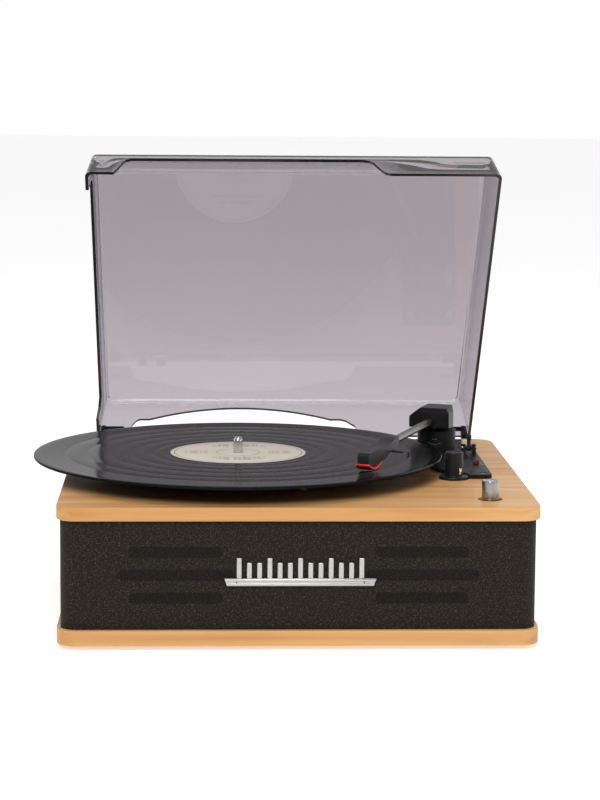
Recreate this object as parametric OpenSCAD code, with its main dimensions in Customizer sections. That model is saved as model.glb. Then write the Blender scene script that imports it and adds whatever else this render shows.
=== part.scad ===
// Bookshelf turntable: a wooden plinth with built-in speakers, a belt driven platter with a
// twelve inch record on it, a short tonearm and a smoked clear lid that hinges at the back.
// X runs to the right, Y to the back, Z up. The origin is on the floor under the middle.

/* [Plinth] */
// Width of the wooden top and base plates
plate_w = 333; // [331:0.5:336]
// Depth of the wooden plates, front to back
plate_d = 307; // [306:0.5:308]
// Thickness of the base plate
base_t = 10.7; // [9:0.1:14]
// Height of the cloth covered cabinet between the plates
cabinet_h = 76.1; // [72:0.1:84]
// Thickness of the top plate
top_t = 9.7; // [8.5:0.1:12]
// Radius of the plates' upright corners
plate_r = 14; // [8:1:20]
// Height of the rubber feet
foot_h = 3; // [2:0.5:6]
// How far the cabinet sides stand in from the plate edge
side_inset = 2.5; // [1:0.1:3]
// How far the cabinet front and back stand in from the plate edge
face_inset = 4; // [3.6:0.1:4.4]
// Thickness of the cabinet boards
board_t = 9; // [7:0.5:10]
// Thickness of the speaker cloth
cloth_t = 0.8; // [0.6:0.1:1]

/* [Platter and record] */
// Spindle centre, left or right of the middle
spindle_x = -40; // [-42:0.5:-38]
// Spindle centre, in front of or behind the middle
spindle_y = -2.8; // [-4:0.1:-1]
// Radius of the spindle
spindle_r = 3.5; // [3.4:0.05:3.55]
// Radius of the platter
platter_r = 100; // [98:1:104]
// Height of the record's playing face above the top plate
record_rise = 14; // [13.8:0.1:14.6]
// Thickness of the record
record_t = 2; // [1.6:0.1:2.2]
// Radius of a twelve inch record
record_r = 150.8; // [150.5:0.1:151]
// Radius of the paper label
label_r = 50; // [45:0.5:50]

/* [Tonearm] */
// Arm pivot, right of the middle
pivot_x = 115.5; // [115:0.1:116.5]
// Arm pivot, behind the middle
pivot_y = 80; // [78:0.5:81]
// Angle of the arm from straight ahead, towards the record
arm_turn = 20.2; // [19:0.1:21]
// Distance from the pivot to the arm tube's front end
tube_l = 130; // [129:0.5:131]
// Height of the arm tube's axis above the top plate
tube_rise = 27.8; // [27.6:0.1:28]
// Radius of the arm tube
tube_r = 2.8; // [2.4:0.1:3]
// Angle between the headshell and the arm
head_turn = 4; // [0:1:6]

/* [Lid] */
// Angle that the lid is open from lying flat
lid_open = 51; // [40:1:56]
// Half of the lid's width at its rim
lid_half_w = 151.9; // [151.5:0.1:152.5]
// Y of the front of the rim with the lid closed
lid_front = -134.4; // [-135:0.1:-134]
// Y of the back of the rim with the lid closed
lid_back = 151; // [150.8:0.1:151.2]
// Height of the lid over its rim
lid_h = 41; // [41:0.5:44]
// Height of the front wall, up to the sloping front of the panel
lid_front_h = 28.2; // [27:0.1:31]
// Thickness of the lid's walls and panel
lid_t = 2.2; // [2:0.1:2.4]

/* [Hidden] */
$fn = 96;
eps = 0.02;

base_top = foot_h + base_t;
plate_low = base_top + cabinet_h;
plate_top = plate_low + top_t;
cab_w = plate_w - 2 * side_inset;
cab_d = plate_d - 2 * face_inset;
cab_r = plate_r - side_inset;
wood_w = cab_w - 2 * cloth_t;
front_y = -cab_d / 2;
back_y = cab_d / 2;
baffle_t = 12;

slot_h = 8.2;
slot_pitch = 16;
slot_mid_z = base_top + 38.1;
speaker_x = 84.5;
speaker_r = 33;
speaker_depth = 26;

knob_x = 134;
knob_y = -120;
knob_r = 5.9;
knob_hole_r = 8.7;
knob_top = plate_top + 13.2;

record_top = plate_top + record_rise;
record_low = record_top - record_t;
mat_t = 1.6;
platter_top = record_low - mat_t;
platter_low = plate_top + 2.4;
drive_ring_r = 76;
pulley_r = 5.5;
pulley_reach = 88;
pulley_turn = -60;
pulley_x = spindle_x + pulley_reach * cos(pulley_turn);
pulley_y = spindle_y + pulley_reach * sin(pulley_turn);
belt_gap = 0.15;
belt_t = 0.8;
belt_low = plate_top + 4.6;
belt_h = 3.4;

deck_low_x = 100;
deck_high_x = 145.4;
deck_front_y = -38;
deck_back_y = 131;
deck_t = 3;
deck_top = plate_top + deck_t;
tower_r = 14.7;
tower_top = plate_top + 20;
tube_z = plate_top + tube_rise;
pin_z = plate_top + 29.5;
block_low = plate_top + 22.8;
block_top = plate_top + 37.8;
post_x = 117.2;
post_y = -36;
post_top = plate_top + 19.8;
plunger_reach = 11;
plunger_r = 1.8;
lever_x = 138;
lever_y = 55;
lever_z = deck_top + 5;
lever_top = plate_top + 18.5;

rim_z = plate_top + 1.3;
hinge_y = 156.8;
hinge_z = plate_top - 16.8;
hinge_in = 145;
hinge_out = 151.4;
hinge_r = 4.6;
pin_r = 2;
running = 0.05;

// ---- shared shapes ----

module rounded_rect(w, d, r) {
    square([w - 2 * r, d], center = true);
    square([w, d - 2 * r], center = true);
    for (x = [-1, 1], y = [-1, 1])
        translate([x * (w / 2 - r), y * (d / 2 - r)]) circle(r);
}

module box(low, high) {
    translate(low) cube(high - low);
}

module slot(w, h) {
    square([w - h, h], center = true);
    for (x = [-1, 1]) translate([x * (w - h) / 2, 0]) circle(h / 2);
}

module along_y(y0, y1) {
    translate([0, y1, 0]) rotate([90, 0, 0]) linear_extrude(y1 - y0) children();
}

module rod_y(r, y0, y1) {
    along_y(y0, y1) circle(r);
}

module rod_x(r, x0, x1) {
    translate([x0, 0, 0]) rotate([0, 90, 0]) cylinder(r = r, h = x1 - x0);
}

// ---- plinth ----

module base_plate() {
    color("burlywood") difference() {
        translate([0, 0, foot_h]) linear_extrude(base_t) rounded_rect(plate_w, plate_d, plate_r);
        for (p = screw_places) translate([p[0], p[1], foot_h - eps]) {
            cylinder(r = 1.85, h = base_t + 2 * eps);
            cylinder(r = 3.6, h = 3);
        }
    }
}

foot_x = plate_w / 2 - 36;
foot_y = plate_d / 2 - 36;
module rubber_feet() {
    color("dimgray") for (x = [-1, 1], y = [-1, 1])
        translate([x * foot_x, y * foot_y, 0]) rotate_extrude()
            polygon([[0, 0], [9, 0], [10, 1], [10, foot_h], [0, foot_h]]);
}

side_x = wood_w / 2 - board_t / 2;
screw_places = [for (x = [-1, 1], y = [-70, 70]) [x * side_x, y]];
module base_screws() {
    color("silver") for (p = screw_places) translate([p[0], p[1], foot_h + 0.6]) {
        cylinder(r = 3.4, h = 2.3);
        cylinder(r = 1.75, h = 22);
    }
}

module cabinet_outline() {
    rounded_rect(wood_w, cab_d - 2 * cloth_t, cab_r - cloth_t);
}

baffle_back = front_y + cloth_t + baffle_t;
module front_baffle() {
    color([0.12, 0.11, 0.1]) difference() {
        translate([0, 0, base_top]) linear_extrude(cabinet_h) intersection() {
            cabinet_outline();
            translate([-plate_w, front_y]) square([2 * plate_w, cloth_t + baffle_t]);
        }
        for (side = [-1, 1], row = [-1:1])
            translate([side * speaker_x, 0, slot_mid_z + row * slot_pitch])
                along_y(front_y - 1, baffle_back + 1) slot(row == 0 ? 80 : 65, slot_h);
    }
}

module side_panel(side) {
    x0 = side > 0 ? wood_w / 2 - board_t : -wood_w / 2;
    color([0.14, 0.13, 0.12]) difference() {
        translate([0, 0, base_top]) linear_extrude(cabinet_h) intersection() {
            cabinet_outline();
            translate([x0, baffle_back]) square([board_t, back_y - board_t - baffle_back]);
        }
        for (p = screw_places) translate([p[0], p[1], base_top - eps]) cylinder(r = 1.85, h = 16);
    }
}

module left_panel() { side_panel(-1); }
module right_panel() { side_panel(1); }

jack_plate_x = -86;
jack_plate_w = 92;
jack_plate_z = base_top + 26;
jack_plate_h = 34;
module rear_panel() {
    color([0.1, 0.1, 0.1]) difference() {
        translate([0, 0, base_top]) linear_extrude(cabinet_h) intersection() {
            rounded_rect(wood_w, cab_d, cab_r);
            translate([-plate_w, back_y - board_t]) square([2 * plate_w, board_t]);
        }
        translate([jack_plate_x, 0, jack_plate_z]) along_y(back_y - board_t - 1, back_y + 1)
            square([jack_plate_w - 12, jack_plate_h - 10], center = true);
    }
}

cloth_end = back_y - board_t - 0.2;
module grille_cloth() {
    color([0.2, 0.18, 0.15]) translate([0, 0, base_top]) linear_extrude(cabinet_h) difference() {
        rounded_rect(cab_w, cab_d, cab_r);
        cabinet_outline();
        translate([-cab_w, cloth_end]) square([2 * cab_w, cab_d]);
    }
}

badge_z = base_top + 33.4;
badge_w = 104.4;
badge_h = 5.6;
badge_slant = 2;
badge_y = front_y - 2.6;
module badge_bar() {
    color("silver") along_y(badge_y, front_y) translate([0.8, badge_z]) polygon([
        [-badge_w / 2 + badge_slant, -badge_h / 2], [badge_w / 2 - badge_slant, -badge_h / 2],
        [badge_w / 2, badge_h / 2], [-badge_w / 2, badge_h / 2]]);
}

// A plain row of upright bars that rise and fall, where a maker would fix a name
slat_count = 13;
slat_pitch = 7;
slat_w = 3.4;
function slat_rise(i) = 7.5 + 6.6 * abs(cos(i * 60));
module badge_slats() {
    color("silver") for (i = [0:slat_count - 1])
        translate([0.8 + (i - (slat_count - 1) / 2) * slat_pitch, 0, 0])
            box([-slat_w / 2, front_y - 1.8, badge_z + badge_h / 2],
                [slat_w / 2, front_y, badge_z + badge_h / 2 + slat_rise(i)]);
}

// ---- loudspeakers ----

module speaker_at(side) {
    translate([side * speaker_x, baffle_back, slot_mid_z]) rotate([-90, 0, 0]) children();
}

module speaker_basket(side) {
    color([0.13, 0.13, 0.14]) speaker_at(side) difference() {
        rotate_extrude() polygon([[29, 0], [speaker_r, 0], [speaker_r, 2], [30.4, 2], [16, 14],
            [16, 15.6], [9, 15.6], [9, 14], [14.4, 13.4], [28.4, 2]]);
        for (a = [45:90:315]) rotate([0, 0, a]) translate([31.2, 0, -1]) cylinder(r = 1.1, h = 4);
    }
}

module speaker_cone(side) {
    color([0.22, 0.21, 0.2]) speaker_at(side) rotate_extrude()
        polygon([[28.2, 0.6], [25, 1.4], [8.6, 12.2], [5, 10.2], [0, 9.2], [0, 9.9], [4.8, 11],
            [8.6, 13.2], [9, 12.9], [25.4, 2.1], [28.2, 1.4]]);
}

module speaker_magnet(side) {
    color([0.3, 0.3, 0.32]) speaker_at(side) {
        translate([0, 0, 15.7]) cylinder(r = 18, h = 2);
        translate([0, 0, 17.7]) cylinder(r = 20, h = speaker_depth - 19.7);
        translate([0, 0, speaker_depth - 2]) cylinder(r = 18, h = 2);
    }
}

module left_speaker_basket() { speaker_basket(-1); }
module left_speaker_cone() { speaker_cone(-1); }
module left_speaker_magnet() { speaker_magnet(-1); }
module right_speaker_basket() { speaker_basket(1); }
module right_speaker_cone() { speaker_cone(1); }
module right_speaker_magnet() { speaker_magnet(1); }

// ---- electronics ----

board_mid = [-40, 85];
board_w = 96;
board_d = 62;
board_z = base_top + 8;
standoff_places = [for (x = [-1, 1], y = [-1, 1])
    [board_mid[0] + x * (board_w / 2 - 5), board_mid[1] + y * (board_d / 2 - 5)]];
module amplifier_board() {
    color("darkgreen") difference() {
        translate([board_mid[0], board_mid[1], board_z]) linear_extrude(1.6)
            square([board_w, board_d], center = true);
        for (p = standoff_places) translate([p[0], p[1], board_z - 1]) cylinder(r = 1.6, h = 4);
    }
}

module board_standoffs() {
    color("ivory") for (p = standoff_places) translate([p[0], p[1], base_top]) {
        cylinder(r = 3.5, h = board_z - base_top);
        cylinder(r = 1.5, h = board_z - base_top + 3);
    }
}

module board_capacitors() {
    color([0.1, 0.12, 0.3]) for (i = [0:3])
        translate([board_mid[0] - 32 + i * 13, board_mid[1] + 12, board_z + 1.6])
            cylinder(r = 5, h = 14 - i);
}

module heat_sink() {
    color("silver") translate([board_mid[0] + 10, board_mid[1] - 18, board_z + 1.6]) {
        box([0, 0, 0], [30, 3, 18]);
        for (i = [0:5]) box([i * 5.6, 3, 0], [i * 5.6 + 2, 11, 18]);
    }
}

// Sockets sit in the plate and open to the back
jack_y = back_y + 2;
line_x = [jack_plate_x - 32, jack_plate_x - 16];
mini_x = [jack_plate_x + 2, jack_plate_x + 16];
dc_x = jack_plate_x + 33;
module jack_plate() {
    color([0.08, 0.08, 0.08]) difference() {
        translate([jack_plate_x, 0, jack_plate_z]) along_y(back_y, jack_y)
            square([jack_plate_w, jack_plate_h], center = true);
        for (x = line_x) translate([x, 0, jack_plate_z]) rod_y(5.1, back_y - 1, jack_y + 1);
        for (x = mini_x) translate([x, 0, jack_plate_z]) rod_y(4.1, back_y - 1, jack_y + 1);
        translate([dc_x, 0, jack_plate_z]) rod_y(5.6, back_y - 1, jack_y + 1);
    }
}

dc_hole_r = 2.75;
module dc_jack() {
    color([0.12, 0.12, 0.12]) translate([dc_x, 0, jack_plate_z]) difference() {
        rod_y(5.5, jack_y - 12, jack_y + 0.6);
        rod_y(dc_hole_r, jack_y - 9, jack_y + 2);
    }
}

line_r = 4.15;
module line_jacks() {
    color("gainsboro") for (x = line_x) translate([x, 0, jack_plate_z]) difference() {
        union() {
            rod_y(5, jack_y - 8, jack_y);
            rod_y(line_r, jack_y, jack_y + 9);
        }
        rod_y(1.7, jack_y - 4, jack_y + 10);
    }
}

mini_hole_r = 1.8;
module minijacks() {
    color([0.15, 0.15, 0.15]) for (x = mini_x) translate([x, 0, jack_plate_z]) difference() {
        rod_y(4, jack_y - 17, jack_y + 0.4);
        rod_y(mini_hole_r, jack_y - 14.6, jack_y + 2);
    }
}

// ---- top plate and volume control ----

bearing_r = 9;
pulley_hole_r = 9;
module top_plate() {
    color("burlywood") difference() {
        translate([0, 0, plate_low]) linear_extrude(top_t) rounded_rect(plate_w, plate_d, plate_r);
        translate([knob_x, knob_y, plate_low - 1]) cylinder(r = knob_hole_r, h = top_t + 2);
        translate([spindle_x, spindle_y, plate_low - 1]) cylinder(r = bearing_r + 0.2, h = top_t + 2);
        translate([pulley_x, pulley_y, plate_low - 1]) cylinder(r = pulley_hole_r, h = top_t + 2);
        for (p = deck_screw_places)
            translate([p[0], p[1], plate_top - 7]) cylinder(r = 1.3, h = 8);
    }
}

pot_shaft_r = 3;
module volume_pot() {
    color("silver") translate([knob_x, knob_y, 0]) difference() {
        union() {
            translate([0, 0, plate_low - 1.5]) linear_extrude(1.5) square([26, 22], center = true);
            translate([0, 0, plate_low - 10.5]) cylinder(r = 8, h = 9);
            translate([0, 0, plate_low]) cylinder(r = 4.5, h = 4);
        }
        translate([0, 0, plate_low - 8]) cylinder(r = pot_shaft_r + running, h = 14);
    }
}

knob_low = plate_low + 4.6;
module volume_knob() {
    color("silver") translate([knob_x, knob_y, 0]) {
        translate([0, 0, knob_low]) cylinder(r = knob_r, h = knob_top - knob_low - 0.6);
        translate([0, 0, knob_top - 0.6]) cylinder(r1 = knob_r, r2 = knob_r - 0.6, h = 0.6);
        translate([0, 0, plate_low - 7.6]) cylinder(r = pot_shaft_r, h = knob_low - plate_low + 8);
    }
}

// ---- motor and belt ----

module motor_body() {
    color("silver") translate([pulley_x, pulley_y, 0]) difference() {
        union() {
            translate([0, 0, plate_low - 27]) cylinder(r = 18, h = 22);
            translate([0, 0, plate_low - 5]) linear_extrude(2) rounded_rect(62, 24, 8);
            translate([0, 0, plate_low - 3]) cylinder(r = 5, h = 2.5);
        }
        translate([0, 0, plate_low - 24]) cylinder(r = 1 + running, h = 30);
        for (x = [-1, 1]) translate([x * 25, 0, plate_low - 6]) cylinder(r = 3.6, h = 4);
    }
}

module motor_grommets() {
    color([0.1, 0.1, 0.1]) for (x = [-1, 1]) translate([pulley_x + x * 25, pulley_y, 0]) {
        translate([0, 0, plate_low - 7]) cylinder(r = 5, h = 2);
        translate([0, 0, plate_low - 5]) cylinder(r = 3.5, h = 2);
        translate([0, 0, plate_low - 3]) cylinder(r = 5, h = 3);
    }
}

module motor_shaft() {
    color("silver") translate([pulley_x, pulley_y, plate_low - 22]) cylinder(r = 1, h = 39);
}

module motor_pulley() {
    color("goldenrod") translate([pulley_x, pulley_y, 0]) difference() {
        union() {
            translate([0, 0, plate_top + 3.4]) cylinder(r = 6.6, h = 1);
            translate([0, 0, plate_top + 4.4]) cylinder(r = pulley_r, h = 3.8);
            translate([0, 0, plate_top - 4]) cylinder(r = 4, h = 7.4);
        }
        translate([0, 0, plate_top - 5]) cylinder(r = 1.02, h = 14);
    }
}

// Outline round the drive ring and the pulley, with straight runs between them
module belt_outline(grow) {
    big = drive_ring_r + belt_gap + grow;
    small = pulley_r + belt_gap + grow;
    lean = acos((big - small) / pulley_reach);
    circle(big);
    translate([pulley_reach, 0]) circle(small);
    polygon([big * [cos(lean), sin(lean)], [pulley_reach, 0] + small * [cos(lean), sin(lean)],
        [pulley_reach, 0] + small * [cos(lean), -sin(lean)], big * [cos(lean), -sin(lean)]]);
}

module drive_belt() {
    color([0.06, 0.06, 0.06]) translate([spindle_x, spindle_y, belt_low])
        rotate([0, 0, pulley_turn]) linear_extrude(belt_h) difference() {
            belt_outline(belt_t);
            belt_outline(0);
        }
}

// ---- bearing, platter and record ----

bearing_low = plate_low - 24;
shaft_r = spindle_r - 0.4;
bush_r = 6;
module bearing_housing() {
    color([0.5, 0.5, 0.52]) translate([spindle_x, spindle_y, 0]) difference() {
        union() {
            translate([0, 0, bearing_low]) cylinder(r = bearing_r, h = plate_top - bearing_low);
            translate([0, 0, plate_low - 3]) cylinder(r = 22, h = 3);
        }
        translate([0, 0, bearing_low + 3]) cylinder(r = bush_r, h = 60);
    }
}

module bearing_bush() {
    color("goldenrod") translate([spindle_x, spindle_y, bearing_low + 7]) difference() {
        cylinder(r = bush_r, h = plate_top - bearing_low - 8);
        translate([0, 0, -1]) cylinder(r = shaft_r + running, h = 60);
    }
}

ball_r = 2;
module thrust_ball() {
    color("silver") translate([spindle_x, spindle_y, bearing_low + 3 + ball_r]) sphere(ball_r);
}

spindle_top = record_top + 12;
spindle_low = bearing_low + 3 + 2 * ball_r + 0.05;
pin_low = record_top + 0.3;
module spindle() {
    color("silver") translate([spindle_x, spindle_y, 0]) {
        translate([0, 0, spindle_low]) cylinder(r = shaft_r, h = pin_low - spindle_low);
        translate([0, 0, pin_low]) cylinder(r = spindle_r, h = spindle_top - spindle_r - pin_low);
        translate([0, 0, spindle_top - spindle_r]) sphere(spindle_r);
    }
}

web_t = 1.9;
module platter() {
    color([0.2, 0.2, 0.21]) translate([spindle_x, spindle_y, 0]) rotate_extrude() polygon([
        [shaft_r + 0.02, plate_top + 1], [13, plate_top + 1], [13, platter_top - web_t],
        [drive_ring_r - 3, platter_top - web_t], [drive_ring_r - 3, platter_low + 1],
        [drive_ring_r, platter_low + 1], [drive_ring_r, platter_top - web_t],
        [platter_r - 3, platter_top - web_t], [platter_r - 3, platter_low],
        [platter_r, platter_low], [platter_r, platter_top], [shaft_r + 0.02, platter_top]]);
}

module disc(r, hole, low, t) {
    translate([spindle_x, spindle_y, low]) difference() {
        cylinder(r = r, h = t);
        translate([0, 0, -1]) cylinder(r = hole, h = t + 2);
    }
}

module platter_mat() {
    color([0.08, 0.08, 0.08]) disc(platter_r - 3, spindle_r + 0.2, platter_top, mat_t);
}

label_t = 0.15;
module record() {
    color([0.05, 0.05, 0.06]) disc(record_r, spindle_r + 0.1, record_low, record_t);
}

module record_label() {
    color([0.78, 0.74, 0.64]) disc(label_r, spindle_r + 0.2, record_top, label_t);
}

// ---- tonearm ----

deck_mid = [(deck_low_x + deck_high_x) / 2, (deck_front_y + deck_back_y) / 2];
deck_screw_places = [[107, 122], [139.4, 122], [139.4, -30]];
switch_x = 138.8;
speed_y = 92;
autostop_y = 11;
ear_in = 2.6;
ear_out = 5.4;
deck_r = 5;
post_flange_r = 11;
module deck_outline() {
    difference() {
        translate(deck_mid) rounded_rect(deck_high_x - deck_low_x, deck_back_y - deck_front_y, deck_r);
        polygon([[deck_low_x - 1, deck_front_y - 1], [post_x, deck_front_y - 1],
            [deck_low_x + 4, 12], [deck_low_x - 1, 30]]);
        translate([post_x, post_y]) circle(post_flange_r + 0.1);
    }
}

module arm_deck() {
    color([0.07, 0.07, 0.07]) difference() {
        union() {
            translate([0, 0, plate_top]) linear_extrude(deck_t) deck_outline();
            for (x = [-ear_out, ear_in]) box([lever_x + x, lever_y - 3, deck_top],
                [lever_x + x + ear_out - ear_in, lever_y + 3, deck_top + 8]);
        }
        translate([0, lever_y, lever_z]) rod_x(1.2, lever_x - 9, lever_x + 9);
        translate([switch_x, speed_y, plate_top - 1]) linear_extrude(5)
            square([4, 26], center = true);
        translate([switch_x, autostop_y + 3, plate_top - 1]) linear_extrude(5)
            square([3, 16], center = true);
        for (p = deck_screw_places) translate([p[0], p[1], plate_top - 1]) {
            cylinder(r = 1.6, h = 5);
            translate([0, 0, 2.4]) cylinder(r = 2.8, h = 4);
        }
    }
}

module deck_screws() {
    color("silver") for (p = deck_screw_places) translate([p[0], p[1], 0]) {
        translate([0, 0, plate_top - 6]) cylinder(r = 1.25, h = 8);
        translate([0, 0, plate_top + 1.5]) cylinder(r = 2.6, h = 1.2);
    }
}

// Children are drawn with the arm pointing straight ahead from the pivot
module on_arm() {
    translate([pivot_x, pivot_y, 0]) rotate([0, 0, -arm_turn]) children();
}

yoke_shaft_r = 4;
module arm_tower() {
    color([0.08, 0.08, 0.08]) on_arm() difference() {
        rotate_extrude() polygon([[0, deck_top], [tower_r, deck_top], [tower_r, tower_top - 1],
            [tower_r - 1, tower_top], [0, tower_top]]);
        translate([0, 0, deck_top + 1]) cylinder(r = yoke_shaft_r + running, h = 30);
        translate([0, -plunger_reach, deck_top + 1]) cylinder(r = plunger_r + running, h = 30);
    }
}

stem_half = 5;
yoke_disc_r = 7.4;
module arm_yoke() {
    color([0.09, 0.09, 0.09]) on_arm() difference() {
        union() {
            translate([0, 0, tower_top + 0.3]) cylinder(r = yoke_disc_r, h = 1.4);
            translate([0, 0, deck_top + 1.6]) cylinder(r = yoke_shaft_r, h = tower_top - deck_top);
            box([-stem_half, -stem_half, tower_top + 1.6], [stem_half, stem_half, pin_z + 4]);
        }
        translate([0, 0, pin_z]) rod_x(1.5, -20, 20);
    }
}

block_left = -16.8;
block_right = 14.8;
block_front = -20;
block_rear = 12;
module yoke_pin() {
    color("silver") on_arm() translate([0, 0, pin_z]) rod_x(1.5, block_left + 6, block_right - 5);
}

module counterweight_block() {
    color([0.1, 0.1, 0.1]) on_arm() difference() {
        intersection() {
            along_y(block_front, block_rear) polygon([[block_left, block_low],
                [block_right, block_low], [block_right, block_top - 3], [block_right - 3, block_top],
                [block_left + 8, block_top], [block_left, block_top - 6.5]]);
            translate([0, 0, block_low - 1]) linear_extrude(20) polygon([
                [block_left, block_front], [block_right, block_front], [block_right, -6],
                [8.4, block_rear], [block_left + 6, block_rear], [block_left, -2]]);
            rotate([90, 0, 90]) translate([0, 0, -30]) linear_extrude(60) polygon([
                [block_front, block_low], [block_rear, block_low], [block_rear, block_top - 4],
                [block_rear - 5, block_top], [block_front + 3, block_top],
                [block_front, block_top - 2.6]]);
        }
        box([-stem_half - 0.4, -stem_half - 1.6, block_low - 1],
            [stem_half + 0.4, stem_half + 1.6, pin_z + 5.4]);
        translate([0, 0, pin_z]) rod_x(1.5 + running, block_left + 5.6, block_right - 4.6);
        translate([0, 0, tube_z]) rod_y(tube_r + 0.02, block_front - 1, block_front + 4.6);
    }
}

module arm_tube() {
    color([0.3, 0.3, 0.3]) on_arm() difference() {
        translate([0, 0, tube_z]) rod_y(tube_r, -tube_l, block_front + 4.5);
        translate([0, 0, tube_z]) rod_y(tube_r - 0.6, -tube_l + 6, block_front + 5);
    }
}

// The head is drawn from its neck at the tube's end, which turns it in towards the record
head_l = 62;
head_half = 5.2;
neck = 4;
head_low = plate_top + 19.2;
head_high = plate_top + 28.5;
module on_head() {
    on_arm() translate([0, -tube_l + neck, 0]) rotate([0, 0, -head_turn]) children();
}

module headshell() {
    color([0.1, 0.1, 0.1]) on_head() difference() {
        intersection() {
            rotate([90, 0, 90]) translate([0, 0, -20]) linear_extrude(40) polygon([
                [1, head_low + 5], [1, tube_z + 4], [-9, tube_z + 3.6], [-20, head_high + 0.4],
                [-head_l + 2, head_high - 0.6], [-head_l, head_high - 2.4], [-head_l, head_low - 0.8],
                [-head_l + 5, head_low - 0.8], [-head_l + 6, head_low], [-29, head_low],
                [-20, head_low + 3.6]]);
            translate([0, 0, head_low - 5]) linear_extrude(20) polygon([
                [-4.6, 1], [4.6, 1], [head_half, -14], [head_half, -40],
                [head_half - 1, -head_l], [-head_half + 1, -head_l], [-head_half, -40],
                [-head_half, -14]]);
        }
        rotate([0, 0, head_turn]) translate([0, 0, tube_z]) rod_y(tube_r + 0.02, -neck, 12);
    }
}

stylus_along = -50;
cart_low = head_low - 2.2;
module cartridge() {
    color([0.13, 0.13, 0.13]) on_head() translate([0, stylus_along, 0])
        box([-4.2, -5.9, cart_low], [4.2, 16, head_low]);
}

// A curved red guard carries the stylus and dips to it
stylus_z = record_top + 0.45;
guard_half = 6;
module stylus_guard() {
    color("crimson") on_head() translate([0, stylus_along, 0]) difference() {
        rotate([90, 0, 90]) translate([0, 0, -guard_half]) linear_extrude(2 * guard_half) polygon([
            [-12.4, head_low - 0.9], [-13.2, head_low - 1.6], [-12.4, cart_low - 0.7],
            [-8, stylus_z + 0.6], [-1, stylus_z], [6, stylus_z + 0.6], [12, cart_low - 0.9],
            [16.6, head_low + 0.2], [17.6, head_low + 1.4], [17, head_low + 2]]);
        box([-4.3, -6, cart_low], [4.3, 30, head_low + 5]);
        box([-head_half - 0.1, -14, head_low - 0.9], [head_half + 0.1, 30, head_low + 5]);
    }
}

finger_half = 13;
module finger_lift() {
    color([0.1, 0.1, 0.1]) on_head()
        box([-finger_half, -14, head_low + 2.75], [finger_half, -10.6, head_low + 3.95]);
}

module cue_plunger() {
    color([0.1, 0.1, 0.1]) on_arm() translate([0, -plunger_reach, 0]) {
        translate([0, 0, deck_top + 2]) cylinder(r = plunger_r, h = block_low - deck_top - 2.5);
        translate([0, 0, block_low - 1.35]) cylinder(r = 3, h = 1);
    }
}

module cue_lever() {
    color([0.1, 0.1, 0.1]) translate([lever_x, lever_y, 0]) {
        translate([0, 0, lever_z]) rod_x(1.15, -ear_out + 0.1, ear_out - 0.1);
        box([-2, -1.1, lever_z - 2], [2, 1.1, lever_z + 2]);
        box([-1.3, -0.9, lever_z + 1], [1.3, 0.9, lever_top]);
        box([-1.8, -1.3, lever_top - 4], [1.8, 1.3, lever_top]);
    }
}

post_r = 6.7;
module arm_rest_post() {
    color([0.1, 0.1, 0.1]) translate([post_x, post_y, 0]) rotate_extrude() polygon([
        [0, plate_top], [post_flange_r, plate_top], [post_flange_r, plate_top + 1.2],
        [post_flange_r - 1, plate_top + 2.2], [post_r, plate_top + 2.2], [post_r, post_top - 0.8],
        [post_r - 0.8, post_top], [0, post_top]]);
}

module speed_switch() {
    color("ivory") translate([switch_x, speed_y, 0]) {
        box([-1.7, -3, plate_top + 0.4], [1.7, 3, deck_top + 0.3]);
        box([-2.6, -3.4, deck_top + 0.3], [2.6, 3.4, deck_top + 6]);
    }
}

module autostop_switch() {
    color("firebrick") translate([switch_x, autostop_y, 0]) {
        box([-1.2, -2, plate_top + 0.4], [1.2, 2, deck_top + 0.3]);
        box([-2, -2.4, deck_top + 0.3], [2, 2.4, deck_top + 3]);
    }
}

// ---- lid ----

// Children are drawn closed, and turn up about the hinge by the open angle
module opened() {
    translate([0, hinge_y, hinge_z]) rotate([-lid_open, 0, 0])
        translate([0, -hinge_y, -hinge_z]) children();
}

side_draft = 5;
front_draft = 8;
back_draft = 1;
slope_run = 26;
corner_r = 4.6;
edge_r = 1.6;
module lid_slice(z, x, front, back, r) {
    translate([0, (front + back) / 2, rim_z + z]) linear_extrude(0.1)
        rounded_rect(2 * x, back - front, r, $fn = 32);
}

module lid_form(in) {
    low = in > 0 ? -1 : 0;
    top = lid_h - in;
    rise = lid_front_h - in * 0.8;
    hull() {
        lid_slice(low, lid_half_w - in, lid_front + in, lid_back - in, corner_r - in / 2);
        lid_slice(rise, lid_half_w - in - side_draft * rise / lid_h, lid_front + in + front_draft,
            lid_back - in - back_draft * rise / lid_h, corner_r - in / 2);
        lid_slice(top - 2.4, lid_half_w - in - side_draft, lid_front + in + front_draft + slope_run - 5,
            lid_back - in - back_draft, corner_r - in / 2);
        lid_slice(top - 0.1, lid_half_w - in - side_draft - edge_r,
            lid_front + in + front_draft + slope_run, lid_back - in - back_draft - edge_r / 2,
            corner_r - in / 2);
    }
}

// Arch over the record at the back, with a level shoulder at each side
arch_x = -35.6;
arch_r = 228;
arch_top = 29.9;
shoulder_h = 17.7;
module arch_cut() {
    translate([arch_x, 0]) {
        intersection() {
            translate([0, arch_top - arch_r]) circle(arch_r, $fn = 200);
            translate([-80, 0]) square([160, 60]);
        }
        polygon([[-91.5, -5], [-91, 2], [-88.5, 10.5], [-84.5, 16], [-81.7, shoulder_h],
            [81.7, shoulder_h], [86, 16.4], [93.5, 10.5], [96.3, 2], [97, -5]]);
    }
}

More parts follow.
